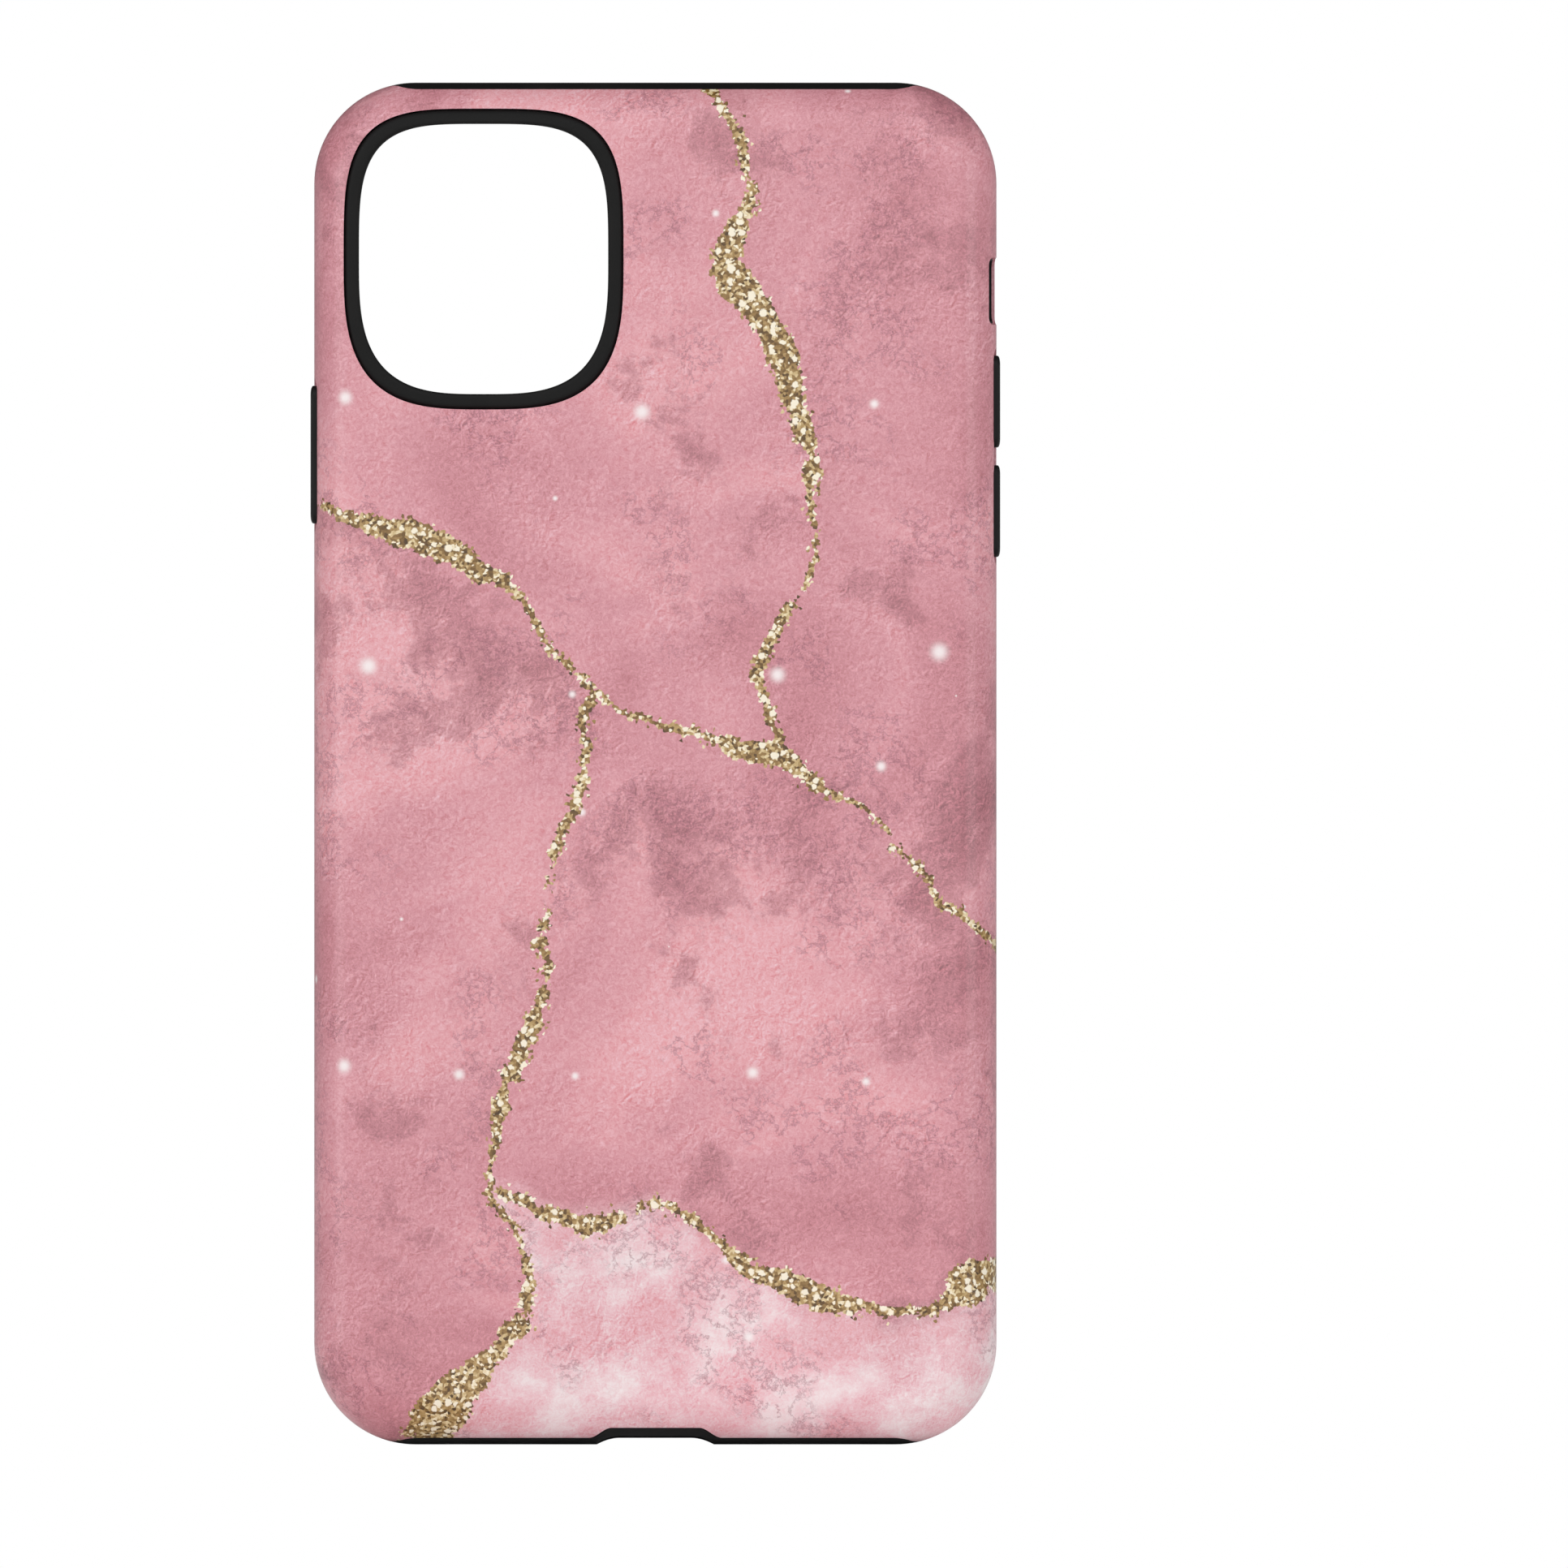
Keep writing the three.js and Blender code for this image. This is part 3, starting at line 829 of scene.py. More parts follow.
# %% Print places
def print_place(piece):
    """Stores the place in the flat print of every point, in mm, as the attribute print_place.

    The rounded rectangle has a core that is one corner radius in from its sides. The outward
    direction is from the nearest point of the core. With s the inset at the point's depth and
    L the curve's length from the flat back, the place is the plan position moved outwards by
    L - (roll width - s).
    """
    mesh = piece.data
    points = np.empty(len(mesh.vertices) * 3)
    mesh.vertices.foreach_get("co", points)
    points = points.reshape(-1, 3)
    y, inset = tray_profile(0, 0, LIP)
    length = np.concatenate([[0], np.cumsum(np.hypot(np.diff(y), np.diff(inset)))])
    core = np.array([HALF_WIDTH - CORNER_RADIUS, HALF_LENGTH - CORNER_RADIUS])
    plan = points[:, [0, 2]]
    away = plan - np.clip(plan, -core, core)
    distance = np.linalg.norm(away, axis=1)
    away /= np.maximum(distance, 1e-9)[:, None]
    drawn_in = np.interp(points[:, 1], y, inset)
    push = np.interp(points[:, 1], y, length) - (BACK_ROLL_INSET - drawn_in)
    place = np.zeros((len(plan), 3))
    place[:, :2] = (plan + away * push[:, None]) / MM
    stored = mesh.attributes.new("print_place", "FLOAT_VECTOR", "POINT")
    stored.data.foreach_set("vector", place.ravel())
    print("print, mm:", np.round(place[:, :2].max(0) - place[:, :2].min(0), 1).tolist())


print_place(shell)

# %% [markdown]
# ## Colours
#
# A printer picks a colour by how it looks on a screen, as an sRGB hex value. Blender's shaders
# reckon in light, so one function turns each hex value into linear light.

# %% Colours
def light(hex_colour):
    """sRGB hex to linear light: c/12.92 below 0.04045, else ((c + 0.055) / 1.055)^2.4."""
    value = np.array([int(hex_colour[i:i + 2], 16) / 255 for i in (1, 3, 5)])
    linear = np.where(value <= 0.04045, value / 12.92, ((value + 0.055) / 1.055) ** 2.4)
    return (*linear.tolist(), 1.0)


print("a rose in light values:", np.round(light("#db98a2")[:3], 3).tolist())

# %% [markdown]
# ## One function for every node
#
# Every node is added by one small function: it makes the node, applies its settings, sets or
# links its inputs, and gives back an output. So each finish below reads as a list of layers. The
# sizes of patterns are given in the units of the place they are read at: millimetres for the
# print.

# %% Nodes
SOFT = {"interpolation_type": "SMOOTHSTEP"}
LAYER = {"data_type": "RGBA", "out": 2}


def place_stops(node, stops):
    """Adds the stops that a new ramp or curve lacks beyond its two, and moves all in place."""
    if hasattr(node, "color_ramp"):
        held = node.color_ramp.elements
        for _ in stops[2:]:
            held.new(0.5)
        for stop, (position, colour) in zip(held, stops):
            stop.position = position
            stop.color = light(colour)
    else:
        held = node.mapping.curves[0].points
        for _ in stops[2:]:
            held.new(0.5, 0.5)
        for point, knot in zip(held, stops):
            point.location = knot
        node.mapping.update()


def add(tree, kind, inputs, out=0, stops=(), **settings):
    """Adds a node and gives back one of its outputs, or all of them where out is None.

    Inputs are values or sockets, in order or by name. Stops are the colours of a ramp, as
    (position, hex), or the knots of a curve, as (x, y). The rest are the node's own settings.
    """
    made = tree.nodes.new("ShaderNode" + kind)
    for name, value in settings.items():
        setattr(made, name, value)
    for name, value in inputs.items() if isinstance(inputs, dict) else enumerate(inputs):
        if isinstance(value, bpy.types.NodeSocket):
            tree.links.new(value, made.inputs[name])
        else:
            made.inputs[name].default_value = value
    if stops:
        place_stops(made, stops)
    return made.outputs if out is None else made.outputs[out]


def lumps(place, size, detail=2.0, rough=0.5, warp=0.0):
    """The inputs that give a noise lumps about size wide, in the units of the place."""
    shape = {"Scale": 1 / size, "Detail": detail, "Roughness": rough, "Distortion": warp}
    return {"Vector": place, **shape}


print("a noise with lumps 4 mm wide:", lumps("place", 4.0))

# %% [markdown]
# ## The two ends of a finish
#
# A finish starts with a new material, whose plain numbers, such as the IOR, are set on the
# shader's own sockets. It ends when the colour, the roughness and the normal that its layers
# gave are linked to the shader. A trial finish shows both ends, and is thrown away.

# %% Finishes
def finish(name, constants):
    """A new material and its node tree, with constants on the sockets of its shader."""
    material = bpy.data.materials.new(name)
    material.use_nodes = True
    for socket, value in constants.items():
        material.node_tree.nodes["Principled BSDF"].inputs[socket].default_value = value
    return material, material.node_tree


def lay_on(material, surface):
    """Links outputs to the sockets of a material's shader, by name, and tells the tree's size."""
    tree = material.node_tree
    for socket, output in surface.items():
        tree.links.new(output, tree.nodes["Principled BSDF"].inputs[socket])
    print(material.name, "has", len(tree.nodes), "nodes")


trial, tree = finish("trial", {"Roughness": 0.5})
place = add(tree, "TexCoord", {}, out="Object")
lay_on(trial, {"Base Color": add(tree, "TexNoise", lumps(place, 4 * MM), out="Color")})
bpy.data.materials.remove(trial)

# %% [markdown]
# ## The lines of the veins
#
# Poured marble has veins that wander, swell and thin out to nothing. Each vein here is a centre
# line and a half width in mm, both drawn as curves along the vein, with knots at fractions of
# its span. Two of them run across the back and two along it.

# %% Lines of the veins
REACH = 100.0
WIDEST = 6.0

VEINS = {
    "across": {
        "along": 0,
        "span": (-50, 50),
        "line": [
            (0, 34), (0.12, 31), (0.27, 24), (0.42, 9), (0.55, 3), (0.7, -2), (0.84, -16), (1, -21),
        ],
        "half": [
            (0, 1.5), (0.1, 0.9), (0.24, 2.3), (0.36, 0.8), (0.5, 0.75), (0.62, 1.8), (0.76, 0.8),
            (1, 1.2),
        ],
    },
    "down": {
        "along": 1,
        "span": (-90, 9),
        "line": [
            (0, -31), (0.1, -27), (0.25, -16), (0.42, -20), (0.6, -14), (0.78, -13), (0.9, -9),
            (1, -7),
        ],
        "half": [
            (0, 2.2), (0.12, 3.4), (0.22, 1.4), (0.38, 0.8), (0.52, 1.4), (0.66, 0.75),
            (0.88, 1.0), (1, 0.7),
        ],
    },
    "top": {
        "along": 1,
        "span": (1, 90),
        "line": [
            (0, 15), (0.12, 13), (0.3, 19), (0.5, 17), (0.65, 9), (0.8, 11), (0.92, 6), (1, 3),
        ],
        "half": [
            (0, 0.8), (0.15, 1.1), (0.33, 0.75), (0.5, 2.2), (0.6, 3.2), (0.72, 1.6), (0.85, 1.0),
            (1, 1.9),
        ],
    },
    "corner": {
        "along": 0,
        "span": (-19, 50),
        "line": [
            (0, -51), (0.15, -55), (0.32, -53), (0.5, -62), (0.68, -66), (0.85, -61), (1, -64),
        ],
        "half": [
            (0, 0.7), (0.14, 1.4), (0.3, 0.8), (0.5, 1.9), (0.7, 0.9), (0.86, 2.7), (1, 1.4),
        ],
    },
}


for name, plan in VEINS.items():
    print(name, "vein, mm wide at most:", 2 * max(value for _, value in plan["half"]))

# %% [markdown]
# ## Inside a vein
#
# A vein could be a mesh or a strip of colour, but its edge would then be fixed. Here a place is
# only told how far inside the vein it lies, so that the edge can be moved and broken up later.
# The line and the half width are curve nodes, read at the same fraction of the span.

# %% Inside a vein
def vein(tree, place, plan):
    """How far inside a vein a place is, in mm, and on which side of its line it lies.

    With u along the vein and v across it, inside = half(u) - |v - line(u)|. Past the vein's ends
    the widest half width is taken off, so nothing is inside there.
    """
    parts = add(tree, "SeparateXYZ", [place], out=None)
    u, v = parts[plan["along"]], parts[1 - plan["along"]]
    t = add(tree, "MapRange", [u, *plan["span"]])
    line_knots = [(x, 0.5 + value / (2 * REACH)) for x, value in plan["line"]]
    half_knots = [(x, value / WIDEST) for x, value in plan["half"]]
    line = add(tree, "FloatCurve", {"Value": t}, stops=line_knots)
    half = add(tree, "FloatCurve", {"Value": t}, stops=half_knots)
    centre = add(tree, "Math", [line, 2 * REACH, -REACH], operation="MULTIPLY_ADD")
    aside = add(tree, "Math", [v, centre], operation="SUBTRACT")
    away = add(tree, "Math", [aside], operation="ABSOLUTE")
    half = add(tree, "Math", [half, WIDEST], operation="MULTIPLY")
    inside = add(tree, "Math", [half, away], operation="SUBTRACT")
    begun = add(tree, "Math", [t, 0.0], operation="GREATER_THAN")
    running = add(tree, "Math", [t, 1.0], operation="LESS_THAN")
    within = add(tree, "Math", [begun, running], operation="MULTIPLY")
    beyond = add(tree, "Math", [1.0, within], operation="SUBTRACT")
    return add(tree, "Math", [beyond, -WIDEST, inside], operation="MULTIPLY_ADD"), aside


half_way = np.interp(0.5, *zip(*VEINS["across"]["half"]))
print("the vein across, half way along, mm wide:", round(2 * half_way, 2))

# %% [markdown]
# ## Poured edges
#
# A drawn curve is too smooth for a poured vein, so the places wander by a noise before they
# meet it, first in wide bends and then in small ones. A wander is written as the size of its
# bends and how far they move a place, both in mm.

# %% Poured edges
WIDE_WANDER = (14.0, 3.4)
SMALL_WANDER = (3.2, 0.9)


def wander(tree, place, size, amount):
    """Moves places about by noise: amount in mm over lumps of size mm."""
    drift = add(tree, "TexNoise", lumps(place, size, 1.0), out="Color")
    inputs = [drift, (2 * amount, 2 * amount, 0), (-amount, -amount, 0)]
    shift = add(tree, "VectorMath", inputs, operation="MULTIPLY_ADD")
    return add(tree, "VectorMath", [place, shift], operation="ADD")


def all_veins(tree, place):
    """The greatest inside value of the veins, after the places wander a little, and the side of
    each vein's line on which a place lies."""
    bent = wander(tree, wander(tree, place, *WIDE_WANDER), *SMALL_WANDER)
    inside, asides = None, {}
    for name, plan in VEINS.items():
        here, asides[name] = vein(tree, bent, plan)
        inside = here if inside is None else add(tree, "Math", [inside, here], operation="MAXIMUM")
    return inside, asides


print("a place moves by up to, mm:", round(WIDE_WANDER[1] + SMALL_WANDER[1], 2))

# %% [markdown]
# ## Grains of glitter
#
# Glitter is made of grains, and a grain is either in the vein or not: the test is made at the
# middle of each grain, which a Voronoi pattern gives, and the edge comes out ragged by whole
# grains. A few lie loose beside the vein, where they fell as it was poured. The lengths are
# in mm.

# %% Grains of glitter
FLAKE = 0.34
EDGE_LUMP = 1.6
EDGE_GROWTH = 1.7
EDGE_DRAWN_IN = 1.25
LOOSE_REACH = 0.8
LOOSE_RARITY = 16.0
RAGGED_REACH = 0.3
GAP_SIZE = 5.0


def grains(tree, place, size):
    """Grains about size wide, as the cells of a Voronoi pattern: each one's middle, how many
    sizes a place is from it, and its random values."""
    inputs = {"Vector": place, "Scale": 1 / size}
    cells = add(tree, "TexVoronoi", inputs, out=None, voronoi_dimensions="2D")
    chance = add(tree, "SeparateColor", [cells["Color"]], out=None)
    return cells["Position"], cells["Distance"], chance


def glitter_mask(tree, place, middle, chance):
    """1 on the grains that lie in a vein, with a lumpy edge, loose grains beside it and gaps.

    A grain is in when inside - drawn in + growth lump + ragged c + loose c^16 - gap is above 0,
    where c is its chance: few grains have a high c^16, and they lie loose beside the vein.
    """
    inside, _ = all_veins(tree, middle)
    lumpy = add(tree, "TexNoise", lumps(middle, EDGE_LUMP), out="Fac")
    drawn_in = add(tree, "Math", [inside, EDGE_DRAWN_IN], operation="SUBTRACT")
    edge = add(tree, "Math", [lumpy, EDGE_GROWTH, drawn_in], operation="MULTIPLY_ADD")
    loose = add(tree, "Math", [chance, LOOSE_RARITY], operation="POWER")
    loose = add(tree, "Math", [loose, LOOSE_REACH], operation="MULTIPLY")
    loose = add(tree, "Math", [chance, RAGGED_REACH, loose], operation="MULTIPLY_ADD")
    edge = add(tree, "Math", [edge, loose], operation="ADD")
    gaps = add(tree, "TexNoise", lumps(place, GAP_SIZE), out="Fac")
    gaps = add(tree, "MapRange", [gaps, 0.55, 0.7], **SOFT)
    edge = add(tree, "Math", [edge, gaps], operation="SUBTRACT")
    return add(tree, "Math", [edge, 0.0], operation="GREATER_THAN")


print("flakes on a square millimetre:", round(1 / FLAKE ** 2, 1))

# %% [markdown]
# ## Watercolour rose
#
# From far to near the print starts with large soft clouds of two roses and watercolour blotches
# with a darker rim where the wash dried. Each layer is laid over the last one as ink is, by a
# mask and a strength.

# %% Washes
ROSES = [(0.34, "#cb8690"), (0.47, "#db98a2"), (0.58, "#e9a7af"), (0.72, "#f0b4bc")]
BLOTCH = "#b0707a"
DRIED_RIM = "#a2666f"
RIM_LEVEL = 0.53
RIM_THIN = 0.008


def ink(tree, under, over, where, strength):
    """Lays a colour over what is under it, as strongly as a mask says."""
    amount = add(tree, "Math", [where, strength], operation="MULTIPLY")
    return add(tree, "Mix", {0: amount, 6: under, 7: over}, **LAYER)


def washes(tree, clouds, blotch, patch):
    """Clouds of rose under darker blotches, whose rim is a thin line at one level of the same
    noise, 1 - |blotch - level| / thin, in patches."""
    colour = add(tree, "ValToRGB", [clouds], stops=ROSES)
    soft = add(tree, "MapRange", [blotch, 0.51, 0.68], **SOFT)
    hard = add(tree, "MapRange", [blotch, 0.55, 0.57], **SOFT)
    dark = add(tree, "Math", [hard, 0.3, soft], operation="MULTIPLY_ADD")
    colour = ink(tree, colour, light(BLOTCH), dark, 0.72)
    rim = add(tree, "Math", [blotch, RIM_LEVEL], operation="SUBTRACT")
    rim = add(tree, "Math", [rim], operation="ABSOLUTE")
    rim = add(tree, "MapRange", [rim, 0.0, RIM_THIN, 1.0, 0.0], **SOFT)
    rim = add(tree, "Math", [rim, patch], operation="MULTIPLY")
    return ink(tree, colour, light(DRIED_RIM), rim, 0.4)


print("roses from", ROSES[0][1], "to", ROSES[-1][1])

# %% [markdown]
# ## Shade and milk
#
# A shade runs along two of the veins, as if the wash had gathered against them, and a pale milky
# wash fills the corner between two others. Both only ask on which side of a vein's line a place
# lies, which is the sign that came out of the vein's own formula.

# %% Shade and milk
MILK = [(0.4, "#efb9c1"), (0.52, "#f6d2d8"), (0.64, "#fdf2f3")]
VEIN_SHADE = "#a9656f"
SHADE_RIGHT = 8.0
SHADE_UNDER = 7.0
MILK_SIZE = 9.0
MILK_WANDER = (6.0, 2.0)


def beside(tree, aside, side, reach):
    """1 at a vein's line, falling to 0 at reach mm on one side of it; 0 on the other side."""
    away = add(tree, "Math", [aside, side], operation="MULTIPLY")
    near = add(tree, "MapRange", [away, 0.0, reach, 1.0, 0.0], **SOFT)
    this_side = add(tree, "Math", [away, 0.0], operation="GREATER_THAN")
    return add(tree, "Math", [near, this_side], operation="MULTIPLY")


def vein_shade(tree, colour, clouds, asides):
    """A soft shade right of one vein and under another, where the clouds are light."""
    upper = add(tree, "Math", [asides["across"], 0.0], operation="GREATER_THAN")
    right = beside(tree, asides["top"], 1.0, SHADE_RIGHT)
    under = beside(tree, asides["across"], -1.0, SHADE_UNDER)
    shade = add(tree, "Math", [right, upper, under], operation="MULTIPLY_ADD")
    lit = add(tree, "MapRange", [clouds, 0.42, 0.6], **SOFT)
    shade = add(tree, "Math", [shade, lit], operation="MULTIPLY")
    return ink(tree, colour, light(VEIN_SHADE), shade, 0.5)


def pale_corner(tree, colour, place, blotch, asides):
    """A milky wash under one vein and right of another, with the blotches' own edge."""
    drifted = wander(tree, place, *MILK_WANDER)
    milk = add(tree, "TexNoise", lumps(drifted, MILK_SIZE, 6.0, 0.6), out="Fac")
    pale = add(tree, "ValToRGB", [milk], stops=MILK)
    edge = add(tree, "Math", [blotch, 9.0, asides["corner"]], operation="MULTIPLY_ADD")
    under = add(tree, "MapRange", [edge, 2.0, 7.0, 1.0, 0.0], **SOFT)
    right = add(tree, "MapRange", [asides["down"], -0.6, 0.6], **SOFT)
    wash = add(tree, "Math", [under, right], operation="MULTIPLY")
    return ink(tree, colour, pale, wash, 0.8)


print("milk from", MILK[0][1], "to", MILK[-1][1])

# %% [markdown]
# ## Old plaster
#
# Over the washes lie hairline cracks and a relief like old plaster. Neither can be felt on the
# real case, where they are part of the picture, so they are colour here and not bump.

# %% Old plaster
CRUST_SIZE = 12.0
CRACK = "#97596a"
CRACK_SIZE = 6.0
CRACK_THIN = 0.028
CRACK_WANDER = (2.5, 0.8)
AWAY_FROM_LIGHT = (0.16, -0.16, 0)
PLASTER = {"size": 1.5, "detail": 8.0, "rough": 0.72, "warp": 1.2}


def cracks(tree, colour, place, patch):
    """Thin dark lines where a noise crosses a half, in patches."""
    drifted = wander(tree, place, *CRACK_WANDER)
    lace = add(tree, "TexNoise", lumps(drifted, CRACK_SIZE, 9.0, 0.72), out="Fac")
    line = add(tree, "Math", [lace, 0.5], operation="SUBTRACT")
    line = add(tree, "Math", [line], operation="ABSOLUTE")
    line = add(tree, "MapRange", [line, 0.0, CRACK_THIN, 1.0, 0.0], **SOFT)
    here = add(tree, "MapRange", [patch, 0.2, 1.0], **SOFT)
    line = add(tree, "Math", [line, here], operation="MULTIPLY")
    return ink(tree, colour, light(CRACK), line, 0.5)


def plaster(tree, place):
    """The light and dark of a plaster's relief, lit from the upper left, about a grey of 0.5.

    It is the height at a place less the height a step away from the light, and is stronger
    where a crust lies.
    """
    crust = add(tree, "TexNoise", lumps(place, CRUST_SIZE, 5.0, 0.6), out="Fac")
    crust = add(tree, "MapRange", [crust, 0.45, 0.6], **SOFT)
    away = add(tree, "VectorMath", [place, AWAY_FROM_LIGHT], operation="ADD")
    here = add(tree, "TexNoise", lumps(place, **PLASTER), out="Fac")
    there = add(tree, "TexNoise", lumps(away, **PLASTER), out="Fac")
    slope = add(tree, "Math", [here, there], operation="SUBTRACT")
    gain = add(tree, "Math", [crust, 0.75, 0.25], operation="MULTIPLY_ADD")
    return add(tree, "Math", [slope, gain, 0.5], operation="MULTIPLY_ADD")


step = np.hypot(*AWAY_FROM_LIGHT[:2])
print("the relief is read, mm apart:", round(float(step), 2))

# %% [markdown]
# ## The marble, layer by layer
#
# Clouds, blotches, shade, milk, cracks and relief come together here, with a fine grain over
# them all. The print's own grain is about 0.1 mm and is drawn as coarse as it needs to show,
# 0.6 mm. The other sizes are those of the clouds and blotches themselves.

# %% Layers of the marble
CLOUD_SIZE = 38.0
BLOTCH_SIZE = 26.0
PATCH_SIZE = 17.0
BLOTCH_WANDER = (9.0, 2.6)
GRAIN = [(0.3, "#8e8687"), (0.5, "#bcbcbc"), (0.7, "#e8e4e4")]
GRAIN_SIZE = 0.62


def rose_marble(tree, place, asides):
    """The colour of the print under the glitter, layer by layer."""
    clouds = add(tree, "TexNoise", lumps(place, CLOUD_SIZE, 3.0, 0.55, 0.8), out="Fac")
    drifted = wander(tree, place, *BLOTCH_WANDER)
    blotch = add(tree, "TexNoise", lumps(drifted, BLOTCH_SIZE, 9.0, 0.64), out="Fac")
    patch = add(tree, "TexNoise", lumps(place, PATCH_SIZE), out="Fac")
    patch = add(tree, "MapRange", [patch, 0.46, 0.6], **SOFT)
    colour = washes(tree, clouds, blotch, patch)
    colour = vein_shade(tree, colour, clouds, asides)
    colour = pale_corner(tree, colour, place, blotch, asides)
    colour = cracks(tree, colour, place, patch)
    grain = add(tree, "TexNoise", lumps(place, GRAIN_SIZE, 4.0, 0.8, 1.5), out="Fac")
    grain = add(tree, "ValToRGB", [grain], stops=GRAIN)
    for relief, strength in ((plaster(tree, place), 1.0), (grain, 0.7)):
        inputs = {0: strength, 6: colour, 7: relief}
        colour = add(tree, "Mix", inputs, blend_type="OVERLAY", **LAYER)
    return colour


print("grain from", GRAIN[0][1], "to", GRAIN[-1][1])

# %% [markdown]
# ## Glitter and glints
#
# Glitter is a bed of small gold flakes, each tilted its own way and so of its own tone, with
# larger flakes among them that throw the light straight back and look white. A few soft round
# glints are scattered over the rose.

# %% Glitter and glints
LARGE_FLAKE = 1.3
LARGE_REACH = 0.42
LARGE_WANDER = (0.5, 0.3)
WHITE_GOLD = "#fff5df"
GLINT_SPACING = 17.0
GLINT_REACH = 0.11
GLINT_SHARE = 0.55
GOLD = [
    (0.14, "#49300f"), (0.32, "#785726"), (0.5, "#9f7d47"), (0.64, "#bf9f68"), (0.76, "#e3cd9d"),
    (0.87, "#fff3d8"),
]


def glitter(tree, place, chance):
    """The colour of the flakes: gold by chance, with white spots of many sizes."""
    spread = add(tree, "TexNoise", lumps(place, 0.5), out="Fac")
    spread = add(tree, "Math", [spread, 0.34], operation="MULTIPLY")
    tone = add(tree, "Math", [chance, 0.7, spread], operation="MULTIPLY_ADD")
    gold = add(tree, "ValToRGB", [tone], stops=GOLD)
    _, away, size = grains(tree, wander(tree, place, *LARGE_WANDER), LARGE_FLAKE)
    reach = add(tree, "Math", [size[0], LARGE_REACH], operation="MULTIPLY")
    near = add(tree, "Math", [away, reach], operation="DIVIDE")
    bright = add(tree, "MapRange", [near, 0.7, 1.05, 1.0, 0.0], **SOFT)
    return add(tree, "Mix", {0: bright, 6: gold, 7: light(WHITE_GOLD)}, **LAYER)


def glints(tree, place):
    """Small soft round lights in a share of wide cells: bright at the middle, and gone by
    1.9 mm, the reach times the spacing."""
    _, away, chance = grains(tree, place, GLINT_SPACING)
    reach = add(tree, "Math", [chance[0], GLINT_REACH], operation="MULTIPLY")
    near = add(tree, "Math", [away, reach], operation="DIVIDE")
    bright = add(tree, "MapRange", [near, 0.1, 1.0, 1.0, 0.0], **SOFT)
    bright = add(tree, "Math", [bright, 1.6], operation="POWER")
    shown = add(tree, "Math", [chance[1], 1 - GLINT_SHARE], operation="GREATER_THAN")
    return add(tree, "Math", [bright, shown], operation="MULTIPLY")


print("gold from", GOLD[0][1], "to", GOLD[-1][1])

# %% [markdown]
# ## The printed shell
#
# Polycarbonate is moulded against polished steel, printed by heat transfer and covered with a
# clear gloss. So the print itself is nearly matt, and the thin clear coat over it has the shine.
# Its IOR is polycarbonate's 1.58. Handling leaves fine scuffs along the length and a smeary
# sheen, which only the roughness shows.

# %% Printed polycarbonate
SMEAR_SIZE = 9.0
SCUFF_WIDTH = 0.5
SCUFF_SQUEEZE = 0.06
SCUFF_TURN = 0.5
PEEL_SIZE = 1.1
GLOSSY_PRINT = {
    "IOR": 1.58,
    "Specular IOR Level": 0.35,
    "Coat Weight": 0.42,
    "Coat Roughness": 0.16,
}


def worn_gloss(tree, place):
    """The roughness of the print: smears 9 mm wide, and scuffs half a millimetre wide that a
    noise squeezed along one way draws about 8 mm long."""
    smear = add(tree, "TexNoise", lumps(place, SMEAR_SIZE, 4.0, 0.6), out="Fac")
    gloss = add(tree, "Math", [smear, 0.22, 0.26], operation="MULTIPLY_ADD")
    rubbed = {"Vector": place, "Rotation": (0, 0, SCUFF_TURN), "Scale": (1, SCUFF_SQUEEZE, 1)}
    rubbed = add(tree, "Mapping", rubbed)
    scuffs = add(tree, "TexNoise", lumps(rubbed, SCUFF_WIDTH, 3.0, 0.6), out="Fac")
    scuffs = add(tree, "MapRange", [scuffs, 0.62, 0.75], **SOFT)
    return add(tree, "Math", [scuffs, 0.12, gloss], operation="MULTIPLY_ADD")


def printed_polycarbonate():
    """The marble, the glints and the glitter under a clear coat."""
    material, tree = finish("printed_glossy_polycarbonate", GLOSSY_PRINT)
    place = add(tree, "Attribute", {}, out="Vector", attribute_name="print_place")
    middle, _, chance = grains(tree, place, FLAKE)
    _, asides = all_veins(tree, place)
    colour = rose_marble(tree, place, asides)
    colour = ink(tree, colour, light("#fff6f6"), glints(tree, place), 0.9)
    flakes = glitter(tree, place, chance[0])
    mask = glitter_mask(tree, place, middle, chance[1])
    colour = add(tree, "Mix", {0: mask, 6: colour, 7: flakes}, **LAYER)
    peel = add(tree, "TexNoise", lumps(place, PEEL_SIZE, 3.0, 0.5), out="Fac")
    normal = add(tree, "Bump", {"Height": peel, "Strength": 0.12, "Distance": 0.02 * MM})
    gloss = worn_gloss(tree, place)
    lay_on(material, {"Base Color": colour, "Roughness": gloss, "Normal": normal})
    return material


shell.data.materials.append(printed_polycarbonate())

# %% [markdown]
# ## Dots on the seat
#
# Rows of small dots keep the liner's seat from clinging to the phone's glass. They are little
# more than a tenth of a millimetre high, too low for the outline. As meshes they would be
# thousands of pieces whose height nobody could see, so they are bump.

# %% Dots
DOT_SPACING = 2.0 * MM
DOT_EDGE = (0.26, 0.36)
DOT_HEIGHT = 0.15 * MM


